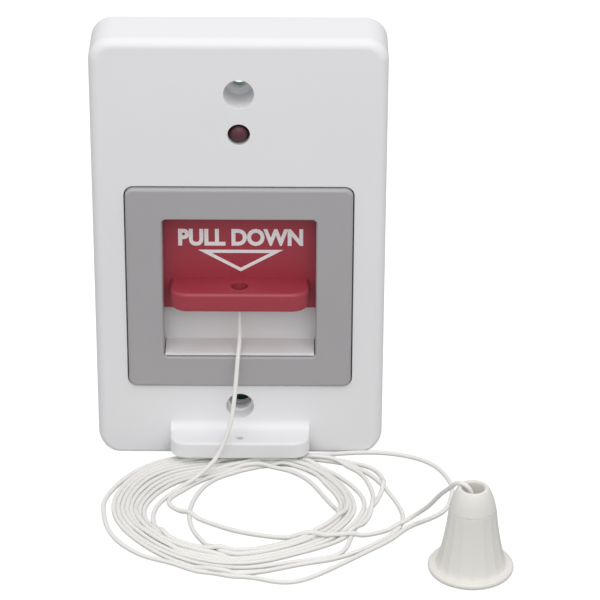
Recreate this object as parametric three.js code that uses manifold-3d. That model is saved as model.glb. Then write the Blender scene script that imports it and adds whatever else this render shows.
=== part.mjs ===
// Emergency pull cord alarm for a single-gang wall box, in millimetres.
// X runs to the right, Y away from the viewer and Z up. The origin is the middle of the plate's bottom edge face.
// Depths are counted inwards from the plate's front face, so what stands proud of it has a negative depth.
import * as THREE from 'three';
import { mergeVertices } from 'three/addons/utils/BufferGeometryUtils.js';
import Module from 'manifold-3d';

const wasm = await Module();
wasm.setup();

// Driving dimensions of the faceplate.
const plateWidth = 70;
const plateHeight = 110.5;
const plateDepth = 14.5;
const plateCorner = 5.5;
const plateEdgeRound = 2.2;
const plateWall = 2.2;
const plateSkin = 2.4;
const clearance = 0.3;
const screwSpacing = 83.34;
const screwHeadBore = 7.2;
const wellWall = 1.3;
const topWellDepth = 8.5;
const topWellWeb = 1.5;
const topScrewHole = 3.9;
const bottomWellDepth = 3.7;
const bottomWellWeb = 1.8;
const bottomScrewHole = 5.6;

// Cord guide ledge, moulded with the faceplate.
const ledgeWidth = 34.2;
const ledgeReach = 8.1;
const ledgeThickness = 4.5;
const ledgeUnderside = 2.85;
const ledgeCorner = 4.2;
const ledgeEdge = 0.6;
const ledgeFillet = 2.2;
const ledgeCoreDepth = 3;
const ledgeCoreSkin = 1.2;
const guideHole = 1.6;
const guideHoleReach = 5.2;

// Grey frame round the pull slider.
const frameWidth = 54.2;
const frameHeight = 53.5;
const frameCentre = 46.05;
const frameProud = 1;
const frameCorner = 2;
const frameRound = 0.8;
const flangeMargin = 1.9;
const flangeThickness = 1.5;
const openingWidth = 36.8;
const openingHeight = 37.1;
const openingCorner = 1;

// Red slider with its pull shelf and switch arm.
const travel = 9.4;
const slideGap = 0.5;
const sliderThickness = 1.8;
const sliderOverlap = 2.2;
const sliderCover = 0.8;
const shelfWidth = 33.6;
const shelfReach = 8.4;
const shelfThickness = 5;
const shelfRise = 3;
const shelfCorner = 4.4;
const shelfEdge = 0.7;
const knotBore = 4;
const knotSeat = 1.2;
const cordHole = 1.8;
const cordHoleReach = 3.7;
const armWidth = 3.6;
const armLeft = 12.8;
const armTop = 92;
const camDrop = 0.95;

// White tray that carries the slider.
const trayWall = 1.5;
const trackWall = 2.6;
const trackGap = 0.4;
const sillThickness = 0.7;
const sillSetback = 0.4;
const trayTop = 76.6;
const trayBottom = 9.2;
const earWidth = 7;
const upperBossX = 8.5;
const lowerBossX = 19.5;
const upperBossZ = 79.6;
const lowerBossZ = 12.6;
const springThickness = 0.3;
const springWidth = 1.5;
const springChord = 16;
const springRise = 1.1;

// Circuit board, screws and bosses.
const boardDepth = 10.9;
const boardThickness = 1.6;
const boardMargin = 1.8;
const boardCorner = 2.5;
const boardBossX = 26.5;
const boardBossInset = 9;
const bossRadius = 2.9;
const screwShank = 2.4;
const screwHead = 4.6;
const screwHeadHeight = 1.5;
const screwLength = 4.2;

// Indicator lamp.
const lampBelowScrew = 10.32;
const lampDiameter = 5;
const lampFlange = 5.8;
const lampFlangeHeight = 1;
const lampLength = 8.6;
const lampProud = 0.5;
const leadPitch = 2.54;
const leadSize = 0.5;
const tailLength = 1.5;

// Switch worked by the slider's arm.
const switchLength = 12.8;
const switchHeight = 6.5;
const switchThickness = 5.8;
const buttonSize = 1.6;
const buttonOut = 1;
const buttonLength = 3;
const buttonFromEnd = 3.9;
const pinPitch = 5.08;
const pinSize = 0.7;

// Terminal block and small components.
const poles = 3;
const polePitch = 5.08;
const blockHeight = 10;
const blockDepth = 8.2;
const blockCentre = 38;
const terminalScrew = 3;
const wireEntry = 2.8;
const resistorDiameter = 2.3;
const resistorLength = 6.3;
const resistorRise = 3.5;
const capacitorDiameter = 6.3;
const capacitorLength = 6.6;

// Cord and pull bell.
const cordDiameter = 1.1;
const coilCentreX = 0.75;
const coilCentreY = -37.75;
const coilHalfWidth = 31.2;
const coilHalfDepth = 26.5;
const coilBand = 8.5;
const coilHeight = 2.2;
const bellX = 54.5;
const bellY = -59.35;
const bellHeight = 22;
const bellFlange = 20;
const bellFlangeHeight = 1.5;
const bellSkirtTop = 16.6;
const bellSkirtFoot = 16.6;
const bellNeck = 11;
const bellMouth = 6.6;
const bellWall = 1;
const bellCup = 5.2;
const bellWebTop = 14.6;
const bellWeb = 1.4;
const bellFlats = 16;

// Places worked out from the sizes above.
const front = -plateDepth / 2;
const middle = plateHeight / 2;
const topScrewZ = middle + screwSpacing / 2;
const lampCentre = topScrewZ - lampBelowScrew;
const bottomScrewZ = middle - screwSpacing / 2;
const wellOuter = screwHeadBore + 2 * wellWall;
const flangeFront = plateSkin + clearance;
const flangeBack = flangeFront + flangeThickness;
const sliderFace = flangeBack + slideGap;
const sliderBack = sliderFace + sliderThickness;
const trayFace = sliderBack + slideGap;
const trayBack = trayFace + trayWall;
const openingBottom = frameCentre - openingHeight / 2;
const openingTop = frameCentre + openingHeight / 2;
const sillTop = openingBottom + clearance + sillThickness;
const sliderBottom = sillTop + clearance + travel;
const sliderTop = openingTop + travel + sliderCover;
const sliderHalf = openingWidth / 2 + sliderOverlap;
const shelfBottom = sliderBottom + shelfRise;
const shelfTop = shelfBottom + shelfThickness;
const shelfFront = sliderFace - shelfReach;
const trackInner = sliderHalf + trackGap;
const trackOuter = trackInner + trackWall;
const boardBack = boardDepth + boardThickness;
const boardTopZ = plateHeight - boardBossInset;
const resistorZ = boardTopZ + resistorRise;
const boardBottomZ = boardBossInset - 1;
const armRight = armLeft + armWidth;
const switchLeft = armRight + 0.2 + buttonOut;
const buttonZ = trayTop + 0.7 + buttonFromEnd;
const switchBottom = buttonZ - buttonFromEnd;
const ledgeTop = ledgeUnderside + ledgeThickness;
const cordRadius = cordDiameter / 2;
const cordDepth = sliderFace - cordHoleReach;
const bellCentre = new THREE.Vector3(bellX, bellY, 0);

// Finishes.
const finish = (color, roughness, metalness = 0) => new THREE.MeshStandardMaterial({ color, roughness, metalness });
const white = finish(0xe6e6e7, 0.45);
const grey = finish(0x9e9c9d, 0.5);
const red = finish(0xa02c3c, 0.4);
const lampRed = finish(0x4a1c22, 0.15);
const green = finish(0x1f6b45, 0.5);
const steel = finish(0xb8babd, 0.3, 1);
const black = finish(0x1d1d1f, 0.5);
const tan = finish(0xc9b184, 0.5);
const cordWhite = finish(0xecebe8, 0.8);

// Turns a closed three.js geometry into a solid that can be joined and cut.
function solidOf(geometry) {
  const bare = new THREE.BufferGeometry();
  bare.setAttribute('position', geometry.attributes.position);
  bare.setIndex(geometry.index);
  const merged = mergeVertices(bare, 1e-4);
  const corners = merged.index.array;
  const kept = [];
  for (let i = 0; i < corners.length; i += 3) {
    const [a, b, c] = [corners[i], corners[i + 1], corners[i + 2]];
    if (a !== b && b !== c && c !== a) kept.push(a, b, c);
  }
  const vertProperties = new Float32Array(merged.attributes.position.array);
  return new wasm.Manifold(new wasm.Mesh({ numProp: 3, vertProperties, triVerts: new Uint32Array(kept) }));
}

// Turns a finished solid back into a three.js geometry.
function geometryOf(solid) {
  const facets = solid.getMesh();
  const geometry = new THREE.BufferGeometry();
  geometry.setAttribute('position', new THREE.BufferAttribute(new Float32Array(facets.vertProperties), 3));
  geometry.setIndex(new THREE.BufferAttribute(new Uint32Array(facets.triVerts), 1));
  geometry.computeVertexNormals();
  return geometry;
}

// A box between two corners.
function box(x0, x1, y0, y1, z0, z1) {
  const geometry = new THREE.BoxGeometry(x1 - x0, y1 - y0, z1 - z0);
  return solidOf(geometry.translate((x0 + x1) / 2, (y0 + y1) / 2, (z0 + z1) / 2));
}

// A rectangle with round corners, centred on (x, z).
function roundedRect(x, z, width, height, radius) {
  const [w, h] = [width / 2 - radius, height / 2 - radius];
  const shape = new THREE.Shape();
  shape.moveTo(x - w, z - h - radius);
  shape.absarc(x + w, z - h, radius, -Math.PI / 2, 0);
  shape.absarc(x + w, z + h, radius, 0, Math.PI / 2);
  shape.absarc(x - w, z + h, radius, Math.PI / 2, Math.PI);
  shape.absarc(x - w, z - h, radius, Math.PI, Math.PI * 1.5);
  return shape;
}

// A closed outline through plain points.
function outline(points) {
  return new THREE.Shape(points.map(([u, v]) => new THREE.Vector2(u, v)));
}

// A shape drawn on the face (X, Z) and pushed from one depth to another; its front edge can be rounded.
function slab(shape, from, to, round = 0, curveSegments = 6) {
  const settings = { depth: to - from - round, bevelEnabled: round > 0, curveSegments };
  Object.assign(settings, { bevelSize: round, bevelThickness: round, bevelOffset: -round, bevelSegments: 4 });
  const geometry = new THREE.ExtrudeGeometry(shape, settings);
  geometry.rotateX(Math.PI / 2).translate(0, front + to, 0);
  const whole = solidOf(geometry);
  if (round === 0) return whole;
  const far = 2 * plateHeight;
  return whole.subtract(box(-far, far, front + to, front + to + far, -far, far));
}

// A round bar along Y between two depths.
function barrel(x, z, diameter, from, to, sides = 24) {
  const geometry = new THREE.CylinderGeometry(diameter / 2, diameter / 2, to - from, sides);
  return solidOf(geometry.translate(x, front + (from + to) / 2, z));
}

// A round bar along Z, centred on (x, y).
function post(x, y, diameter, z0, z1, sides = 24) {
  const geometry = new THREE.CylinderGeometry(diameter / 2, diameter / 2, z1 - z0, sides);
  return solidOf(geometry.rotateX(Math.PI / 2).translate(x, y, (z0 + z1) / 2));
}

// A side profile drawn on (Y, Z) and pushed along X.
function bar(shape, x0, x1, curveSegments = 5) {
  const geometry = new THREE.ExtrudeGeometry(shape, { depth: x1 - x0, bevelEnabled: false, curveSegments });
  const axes = [new THREE.Vector3(0, 1, 0), new THREE.Vector3(0, 0, 1), new THREE.Vector3(1, 0, 0)];
  geometry.applyMatrix4(new THREE.Matrix4().makeBasis(...axes)).translate(x0, 0, 0);
  return solidOf(geometry);
}

// A plan drawn on (X, Y) and pushed up from z0 to z1.
function plan(shape, z0, z1, curveSegments = 6) {
  const geometry = new THREE.ExtrudeGeometry(shape, { depth: z1 - z0, bevelEnabled: false, curveSegments });
  return solidOf(geometry.translate(0, 0, z0));
}

// The shared form of the ledge and the shelf: a nosed bar with round front corners, seen from above.
function nosedBar({ width, back, nose, bottom, top, corner, edge, fillet }) {
  const profile = new THREE.Shape();
  profile.moveTo(back, bottom);
  profile.lineTo(back, top + fillet);
  profile.lineTo(back - 1, top + fillet);
  profile.absarc(back - 1 - fillet, top + fillet, fillet, 0, -Math.PI / 2, true);
  profile.absarc(nose + edge, top - edge, edge, Math.PI / 2, Math.PI);
  profile.absarc(nose + edge, bottom + edge, edge, Math.PI, Math.PI * 1.5);
  const half = width / 2;
  const above = new THREE.Shape();
  above.moveTo(-half, back);
  above.absarc(-half + corner, nose + corner, corner, Math.PI, Math.PI * 1.5);
  above.absarc(half - corner, nose + corner, corner, Math.PI * 1.5, Math.PI * 2);
  above.lineTo(half, back);
  return bar(profile, -half - 1, half + 1).intersect(plan(above, bottom - 1, top + fillet + 1));
}

// The four screw places that hold the tray to the faceplate.
const traySeats = [
  [-lowerBossX, lowerBossZ],
  [lowerBossX, lowerBossZ],
  [-upperBossX, upperBossZ],
  [upperBossX, upperBossZ],
];

// The four screw places that hold the circuit board.
const boardSeats = [
  [-boardBossX, boardBottomZ],
  [boardBossX, boardBottomZ],
  [-boardBossX, boardTopZ],
  [boardBossX, boardTopZ],
];

function faceplate() {
  const shell = slab(roundedRect(0, middle, plateWidth, plateHeight, plateCorner), 0, plateDepth, plateEdgeRound);
  const inner = [plateWidth - 2 * plateWall, plateHeight - 2 * plateWall, plateCorner - plateWall];
  let solid = shell.subtract(slab(roundedRect(0, middle, ...inner), plateSkin, plateDepth + 1));
  solid = solid.add(barrel(0, topScrewZ, wellOuter, 0.5, topWellDepth + topWellWeb));
  solid = solid.add(barrel(0, bottomScrewZ, wellOuter, 0.5, bottomWellDepth + bottomWellWeb));
  for (const [x, z] of traySeats) solid = solid.add(barrel(x, z, 2 * bossRadius, 1, trayFace - clearance, 16));
  for (const [x, z] of boardSeats) solid = solid.add(barrel(x, z, 2 * bossRadius, 1, boardDepth - clearance, 16));
  solid = solid.add(barrel(0, lampCentre, lampFlange + 2.4, 1, plateSkin + 2));
  solid = solid.add(nosedBar({
    width: ledgeWidth,
    back: front + 1,
    nose: front - ledgeReach,
    bottom: ledgeUnderside,
    top: ledgeTop,
    corner: ledgeCorner,
    edge: ledgeEdge,
    fillet: ledgeFillet,
  }));
  const gap = 2 * clearance;
  const hole = roundedRect(0, frameCentre, frameWidth + gap, frameHeight + gap, frameCorner + clearance);
  solid = solid.subtract(slab(hole, -1, plateSkin + 0.5));
  solid = solid.subtract(barrel(0, topScrewZ, screwHeadBore, -1, topWellDepth));
  solid = solid.subtract(barrel(0, topScrewZ, topScrewHole, -1, plateDepth));
  solid = solid.subtract(barrel(0, bottomScrewZ, screwHeadBore, -1, bottomWellDepth));
  solid = solid.subtract(barrel(0, bottomScrewZ, bottomScrewHole, -1, plateDepth));
  solid = solid.subtract(barrel(0, lampCentre, lampDiameter + gap, -1, plateDepth));
  for (const [x, z] of [...traySeats, ...boardSeats]) {
    solid = solid.subtract(barrel(x, z, screwShank + gap, plateSkin, plateDepth, 12));
  }
  const holeY = front - guideHoleReach;
  solid = solid.subtract(post(0, holeY, guideHole, 0, ledgeTop + 1, 12));
  const coreHalf = ledgeWidth / 2 - ledgeCorner;
  const core = [ledgeUnderside + ledgeCoreSkin, ledgeTop - ledgeCoreSkin];
  return solid.subtract(box(-coreHalf, coreHalf, front - ledgeCoreDepth, front + plateSkin + 0.5, ...core));
}

function bezelFrame() {
  const face = roundedRect(0, frameCentre, frameWidth, frameHeight, frameCorner);
  const margin = 2 * flangeMargin;
  const rim = roundedRect(0, frameCentre, frameWidth + margin, frameHeight + margin, frameCorner);
  const opening = roundedRect(0, frameCentre, openingWidth, openingHeight, openingCorner);
  const mouth = roundedRect(0, frameCentre, openingWidth + frameRound, openingHeight + frameRound, openingCorner);
  const notch = barrel(0, bottomScrewZ, wellOuter + 2 * clearance, plateSkin, flangeBack + 1);
  return slab(face, -frameProud, flangeFront + 0.5, frameRound)
    .add(slab(rim, flangeFront, flangeBack))
    .subtract(notch)
    .subtract(slab(opening, -frameProud - 1, flangeBack + 1))
    .subtract(slab(mouth, -frameProud - 1, -frameProud + frameRound / 2));
}

function slideTray() {
  const trayHeight = trayTop - trayBottom;
  const wall = roundedRect(0, trayBottom + trayHeight / 2, 2 * trackOuter, trayHeight, 1.5);
  let solid = slab(wall, trayFace, trayBack, 0, 3);
  const track = [front + flangeBack + clearance, front + trayFace + 0.5];
  const trackFoot = openingBottom - 3;
  for (const side of [-1, 1]) {
    const edges = [side * trackInner, side * trackOuter].sort((a, b) => a - b);
    solid = solid.add(box(...edges, ...track, trackFoot, trayTop));
    const earLeft = side * upperBossX - earWidth / 2;
    const earTop = upperBossZ + earWidth / 2;
    solid = solid.add(box(earLeft, earLeft + earWidth, front + trayFace, front + trayBack, trayTop - 1, earTop));
  }
  const sillHalf = openingWidth / 2 - clearance;
  solid = solid.add(box(-sillHalf, sillHalf, front - frameProud + sillSetback, front + trayFace + 0.5,
    sillTop - sillThickness, sillTop));
  solid = solid.subtract(barrel(0, bottomScrewZ, bottomScrewHole + 1, trayFace - 1, trayBack + 1));
  for (const [x, z] of traySeats) {
    solid = solid.subtract(barrel(x, z, screwShank + 2 * clearance, trayFace - 1, trayBack + 1, 12));
  }
  const pocketHalf = springChord / 2 + 0.6;
  const pocketDepth = trackInner + springRise + springThickness;
  for (const side of [-1, 1]) {
    const edges = [side * (trackInner - 0.5), side * pocketDepth].sort((a, b) => a - b);
    const reach = [track[0] - 0.5, front + trayFace - clearance];
    solid = solid.subtract(box(...edges, ...reach, frameCentre - pocketHalf, frameCentre + pocketHalf));
  }
  return solid;
}

function slider() {
  const height = sliderTop - sliderBottom;
  const plate = roundedRect(0, sliderBottom + height / 2, 2 * sliderHalf, height, 0.8);
  let solid = slab(plate, sliderFace, sliderBack, 0, 3);
  solid = solid.add(nosedBar({
    width: shelfWidth,
    back: front + sliderFace + 1,
    nose: front + shelfFront,
    bottom: shelfBottom,
    top: shelfTop,
    corner: shelfCorner,
    edge: shelfEdge,
    fillet: 0.6,
  }));
  const slope = camDrop / travel;
  const camStart = buttonZ - buttonSize;
  const camEnd = armRight - (armTop - buttonZ) * slope;
  const arm = outline([
    [armLeft, sliderTop - 1],
    [armRight + buttonSize * slope, sliderTop - 1],
    [armRight + buttonSize * slope, camStart],
    [camEnd, armTop],
    [armLeft, armTop],
  ]);
  solid = solid.add(slab(arm, sliderFace, sliderBack));
  const cordY = front + cordDepth;
  solid = solid.subtract(post(0, cordY, knotBore, shelfBottom + knotSeat, shelfTop + 1));
  return solid.subtract(post(0, cordY, cordHole, shelfBottom - 1, shelfTop, 16));
}

// A bowed steel strip that presses on one edge of the slider.
function frictionSpring(side) {
  const radius = (springChord ** 2 / 4 + springRise ** 2) / (2 * springRise);
  const half = Math.asin(springChord / 2 / radius);
  const shape = new THREE.Shape();
  shape.absarc(0, 0, radius, -half, half);
  shape.absarc(0, 0, radius - springThickness, half, -half, true);
  const from = flangeBack + slideGap;
  const geometry = new THREE.ExtrudeGeometry(shape, { depth: springWidth, bevelEnabled: false, curveSegments: 12 });
  geometry.rotateX(Math.PI / 2);
  if (side > 0) geometry.rotateZ(Math.PI).translate(0, -springWidth, 0);
  const tip = sliderHalf + 0.2;
  geometry.translate(side * (tip + radius), front + from + springWidth, frameCentre);
  return solidOf(geometry);
}

function circuitBoard() {
  const width = plateWidth - 2 * (plateWall + boardMargin);
  const height = plateHeight - 2 * (plateWall + boardMargin);
  let solid = slab(roundedRect(0, middle, width, height, boardCorner), boardDepth, boardBack, 0, 4);
  const drill = (x, z, bore, sides = 12) => {
    solid = solid.subtract(barrel(x, z, bore, boardDepth - 1, boardBack + 1, sides));
  };
  drill(0, topScrewZ, topScrewHole + 0.6, 24);
  drill(0, bottomScrewZ, topScrewHole + 0.6, 24);
  for (const [x, z] of boardSeats) drill(x, z, screwShank + 2 * clearance);
  for (const side of [-1, 1]) drill(side * leadPitch / 2, lampCentre, leadSize * 1.5 + 2 * clearance, 8);
  for (const z of switchPins()) drill(switchLeft + switchHeight / 2, z, pinSize * 1.5 + 2 * clearance, 8);
  return solid;
}

function indicatorLamp() {
  const radius = lampDiameter / 2;
  const straight = lampLength - radius;
  const profile = new THREE.Path();
  profile.moveTo(0, 0);
  profile.lineTo(lampFlange / 2, 0);
  profile.lineTo(lampFlange / 2, lampFlangeHeight);
  profile.lineTo(radius, lampFlangeHeight);
  profile.absarc(0, straight, radius, 0, Math.PI / 2);
  const geometry = new THREE.LatheGeometry(profile.getPoints(3), 20);
  return solidOf(geometry.rotateX(Math.PI).translate(0, front - lampProud + lampLength, lampCentre));
}

const lampBase = lampLength - lampProud;

function lampSpacer() {
  let solid = barrel(0, lampCentre, lampFlange, lampBase + clearance, boardDepth - clearance);
  for (const side of [-1, 1]) {
    const bore = leadSize * 1.5 + 2 * clearance;
    solid = solid.subtract(barrel(side * leadPitch / 2, lampCentre, bore, lampBase, boardDepth, 8));
  }
  return solid;
}

function lampLead(side) {
  const half = leadSize / 2;
  const x = (side * leadPitch) / 2;
  const ends = [front + lampBase + clearance, front + boardBack + tailLength];
  return box(x - half, x + half, ...ends, lampCentre - half, lampCentre + half);
}

// Heights of the switch's three pins.
function switchPins() {
  const centre = switchBottom + switchLength / 2;
  return [centre - pinPitch, centre, centre + pinPitch];
}

function switchBody() {
  const back = boardDepth - clearance;
  const face = back - switchThickness;
  const right = switchLeft + switchHeight;
  const y = [front + face, front + back];
  let solid = box(switchLeft, right, ...y, switchBottom, switchBottom + switchLength);
  for (const z of [switchBottom + 1.9, switchBottom + switchLength - 1.9]) {
    solid = solid.subtract(barrel(right - 1.7, z, 2, face - 1, face + 3, 12));
  }
  const half = buttonSize / 2 + clearance;
  const buttonY = (y[0] + y[1]) / 2;
  const depth = switchLeft + buttonLength - buttonOut + 0.8;
  return solid.subtract(box(switchLeft - 1, depth, buttonY - half, buttonY + half, buttonZ - half, buttonZ + half));
}

function switchButton() {
  const buttonY = front + boardDepth - clearance - switchThickness / 2;
  const half = buttonSize / 2;
  const tip = switchLeft - buttonOut;
  return box(tip, tip + buttonLength, buttonY - half, buttonY + half, buttonZ - half, buttonZ + half);
}

function switchPin(z) {
  const half = pinSize / 2;
  const x = switchLeft + switchHeight / 2;
  return box(x - half, x + half, front + boardDepth, front + boardBack + tailLength, z - half, z + half);
}

// Middle of each wiring pole along X.
const poleX = (pole) => (pole - (poles - 1) / 2) * polePitch;

function terminalBlock() {
  const half = (poles * polePitch) / 2;
  const near = front + boardBack + clearance;
  const far = near + blockHeight;
  const [bottom, top] = [blockCentre - blockDepth / 2, blockCentre + blockDepth / 2];
  const step = outline([[near, bottom], [far - 2.5, bottom], [far, bottom + 2], [far, top], [near, top]]);
  let solid = bar(step, -half, half);
  for (let pole = 0; pole < poles; pole += 1) {
    const x = poleX(pole);
    const well = new THREE.CylinderGeometry(terminalScrew / 2 + clearance, terminalScrew / 2 + clearance, 5, 14);
    solid = solid.subtract(solidOf(well.translate(x, far - 2, blockCentre + 0.6)));
    const entry = wireEntry / 2;
    solid = solid.subtract(box(x - entry, x + entry, near + 1, near + 1 + wireEntry, bottom - 1, bottom + 4));
  }
  return solid;
}

function terminalScrewAt(pole) {
  const far = front + boardBack + clearance + blockHeight;
  const head = new THREE.CylinderGeometry(terminalScrew / 2, terminalScrew / 2, 2.6, 14);
  const solid = solidOf(head.translate(poleX(pole), far - 2.6, blockCentre + 0.6));
  const half = terminalScrew / 2;
  const x = poleX(pole);
  return solid.subtract(box(x - half, x + half, far - 1.9, far, blockCentre + 0.25, blockCentre + 0.95));
}

// A pan-head screw driven from the rear, with its head on the given depth.
function rearScrew(x, z, seat) {
  const radius = screwHead / 2;
  const profile = new THREE.Path();
  profile.moveTo(0, -screwLength);
  profile.lineTo(screwShank / 2 - 0.5, -screwLength);
  profile.lineTo(screwShank / 2, -screwLength + 0.8);
  profile.lineTo(screwShank / 2, 0);
  profile.lineTo(radius, 0);
  profile.lineTo(radius, screwHeadHeight * 0.5);
  profile.lineTo(radius * 0.7, screwHeadHeight);
  profile.lineTo(0, screwHeadHeight);
  const geometry = new THREE.LatheGeometry(profile.getPoints(1), 10);
  const y = front + seat + clearance;
  const solid = solidOf(geometry.translate(x, y, z));
  const [deep, top] = [y + screwHeadHeight * 0.4, y + screwHeadHeight + 1];
  const slot = box(x - 1.1, x + 1.1, deep, top, z - 0.25, z + 0.25);
  return solid.subtract(slot.add(box(x - 0.25, x + 0.25, deep, top, z - 1.1, z + 1.1)));
}

// A leaded part that lies on the board: a round body with a bent lead at each end.
function axialPart(x, z, diameter, length) {
  const radius = diameter / 2;
  const y = front + boardDepth - clearance - radius;
  const body = new THREE.CylinderGeometry(radius, radius, length, 14).rotateZ(Math.PI / 2);
  const wire = leadSize / 2;
  const reach = length / 2 + 1.6;
  let solid = solidOf(body.translate(x, y, z)).add(box(x - reach, x + reach, y - wire, y + wire, z - wire, z + wire));
  for (const side of [-1, 1]) {
    const end = x + side * (reach - wire);
    solid = solid.add(box(end - wire, end + wire, y - wire, front + boardDepth - clearance, z - wire, z + wire));
  }
  return solid;
}

function capacitor() {
  const back = boardDepth - clearance;
  const can = barrel(-18.5, 89, capacitorDiameter, back - capacitorLength, back - 1.2, 20);
  const neck = barrel(-18.5, 89, capacitorDiameter - 0.6, back - 1.5, back - 0.6, 20);
  return can.add(neck).add(barrel(-18.5, 89, capacitorDiameter, back - 0.9, back, 20));
}

// A ring of cord drawn tight, which stands for the knot that stops the cord.
function knot(centre, inner, outer, height) {
  const ring = post(0, 0, outer, 0, height, 16).subtract(post(0, 0, inner, -1, height + 1, 12));
  return ring.translate([centre.x, centre.y, centre.z]);
}

const cordHoleY = front + cordDepth;
const knotSeatZ = shelfBottom + knotSeat + clearance;

// Cord from the shelf over the ledge's nose to the coil.
const dropRoute = [
  [0, cordHoleY, knotSeatZ + 0.6],
  [0, cordHoleY, 38],
  [0, cordHoleY, 32],
  [-0.1, -6.9, 30.7],
  [-0.25, -8.7, 29.8],
  [-0.5, -9.9, 27.6],
  [-1, -12.2, 21.5],
  [-1.8, -15.2, 15],
  [-3.1, -16.9, 10.3],
  [-4.2, -17.6, 7.6],
  [-5.4, -18.3, 5.2],
  [-7.2, -19.6, 3.7],
  [-9.4, -22.2, 2.85],
  [-10.9, -24.6, 2.8],
];

// The widest loop, which leaves the coil on the right, passes behind the bell and comes back at the front.
const loopRoute = [
  [12.6, -12.6, 0.6],
  [17, -10.9, 0.6],
  [22, -8.9, 0.6],
  [28.4, -8.1, 0.6],
  [34.4, -7.9, 0.6],
  [38.3, -8.6, 0.6],
  [42.2, -9.9, 0.6],
  [46.1, -12.2, 0.6],
  [48.9, -15.4, 0.6],
  [51, -20.4, 0.6],
  [51.8, -25.4, 0.6],
  [50.6, -33.2, 0.6],
  [48.2, -37, 0.6],
  [41.1, -41.9, 0.6],
  [38.4, -45.1, 0.6],
  [34.3, -50.1, 0.6],
  [28.7, -55, 0.6],
  [23.6, -57.2, 0.6],
  [20.3, -59.15, 0.6],
];

// Cord from the knot inside the bell, over its rim and down to the coil.
const tailRoute = [
  [bellX, bellY, bellWebTop - bellWeb + 0.2],
  [bellX, bellY, bellWebTop + 2],
  [bellX - 0.7, bellY, bellHeight - 1.2],
  [bellX - 2.4, bellY + 0.6, bellHeight + 1.2],
  [bellX - 3.9, bellY + 1.8, bellHeight + 0.4],
  [49.8, -55.8, 20],
  [47.6, -50.2, 14.5],
  [44.9, -44.4, 7.5],
  [42.4, -40.9, 3],
  [40.4, -40.2, 1],
  [37.6, -41.2, 0.6],
  [33.4, -43.6, 0.6],
  [30.85, -46.65, 0.6],
];

// A plain round cord along a route, with a fixed number of steps.
function cordAlong(route, steps) {
  const path = new THREE.CatmullRomCurve3(route.map((point) => new THREE.Vector3(...point)), false, 'centripetal');
  const section = new THREE.Shape();
  section.absarc(0, 0, cordRadius, 0, Math.PI * 2);
  return solidOf(new THREE.ExtrudeGeometry(section, { steps, extrudePath: path, curveSegments: 8 }));
}

// The coil's outer shape: a flat ring, a little wider than it is deep.
function cordCoil() {
  const inner = coilHalfWidth - coilBand;
  const bevel = 0.5;
  const profile = [
    [inner, bevel],
    [inner + bevel, 0],
    [coilHalfWidth - bevel, 0],
    [coilHalfWidth, bevel],
    [coilHalfWidth, coilHeight - bevel],
    [coilHalfWidth - bevel, coilHeight],
    [inner + bevel, coilHeight],
    [inner, coilHeight - bevel],
    [inner, bevel],
  ];
  const geometry = new THREE.LatheGeometry(profile.map(([r, z]) => new THREE.Vector2(r, z)), 48);
  geometry.rotateX(Math.PI / 2).scale(1, coilHalfDepth / coilHalfWidth, 1);
  return solidOf(geometry.translate(coilCentreX, coilCentreY, 0));
}

// Radius of the bell's skirt at a height: a trumpet flare from the neck to the foot.
function skirtRadius(z) {
  const down = (bellSkirtTop - z) / (bellSkirtTop - bellFlangeHeight);
  const flare = 0.55 * down + 0.45 * down ** 2.4;
  return bellNeck / 2 + (bellSkirtFoot / 2 - bellNeck / 2) * flare;
}

// A turned solid on the bell's own axis.
function turned(points, sides) {
  const geometry = new THREE.LatheGeometry(points.map(([r, z]) => new THREE.Vector2(r, z)), sides);
  return solidOf(geometry.rotateX(Math.PI / 2));
}

function pullBell() {
  const heights = [1, 2.5, 4.5, 7, 10, 13, bellSkirtTop];
  const skirt = turned([[0, heights[0]], ...heights.map((z) => [skirtRadius(z), z]), [0, bellSkirtTop]], bellFlats);
  const rim = bellFlange / 2;
  const lip = bellFlangeHeight / 2;
  const flange = new THREE.Path();
  flange.moveTo(0, 0);
  flange.lineTo(rim - lip, 0);
  flange.absarc(rim - lip, lip, lip, -Math.PI / 2, Math.PI / 2);
  flange.lineTo(0, bellFlangeHeight);
  const dome = new THREE.Path();
  const [domeFoot, domeTop] = [bellSkirtTop - 0.4, bellHeight - 0.5];
  dome.moveTo(0, domeFoot);
  dome.lineTo(bellNeck / 2 + 0.15, domeFoot);
  dome.quadraticCurveTo(bellNeck / 2 - 0.2, domeTop - 1.6, bellMouth / 2 + 0.25, domeTop);
  dome.quadraticCurveTo(bellMouth / 2, bellHeight, bellMouth / 2 - 0.35, bellHeight);
  dome.lineTo(0, bellHeight);
  const asPairs = (path, steps) => path.getPoints(steps).map((point) => [point.x, point.y]);
  let solid = skirt.add(turned(asPairs(flange, 3), 36)).add(turned(asPairs(dome, 4), 32));
  const webBottom = bellWebTop - bellWeb;
  const insideHeights = [-1, 3, 7, webBottom];
  const inside = insideHeights.map((z) => [skirtRadius(Math.max(z, 1)) - bellWall, z]);
  solid = solid.subtract(turned([[0, -1], ...inside, [0, webBottom]], 28));
  solid = solid.subtract(post(0, 0, bellCup, bellWebTop, bellHeight + 1, 28));
  solid = solid.subtract(post(0, 0, cordHole, webBottom - 1, bellWebTop + 1, 12));
  return solid.translate([bellX, bellY, 0]);
}

const group = new THREE.Group();

// Adds one named piece to the assembly.
function add(name, solid, material) {
  const mesh = new THREE.Mesh(geometryOf(solid), material);
  mesh.name = name;
  group.add(mesh);
}

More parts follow.
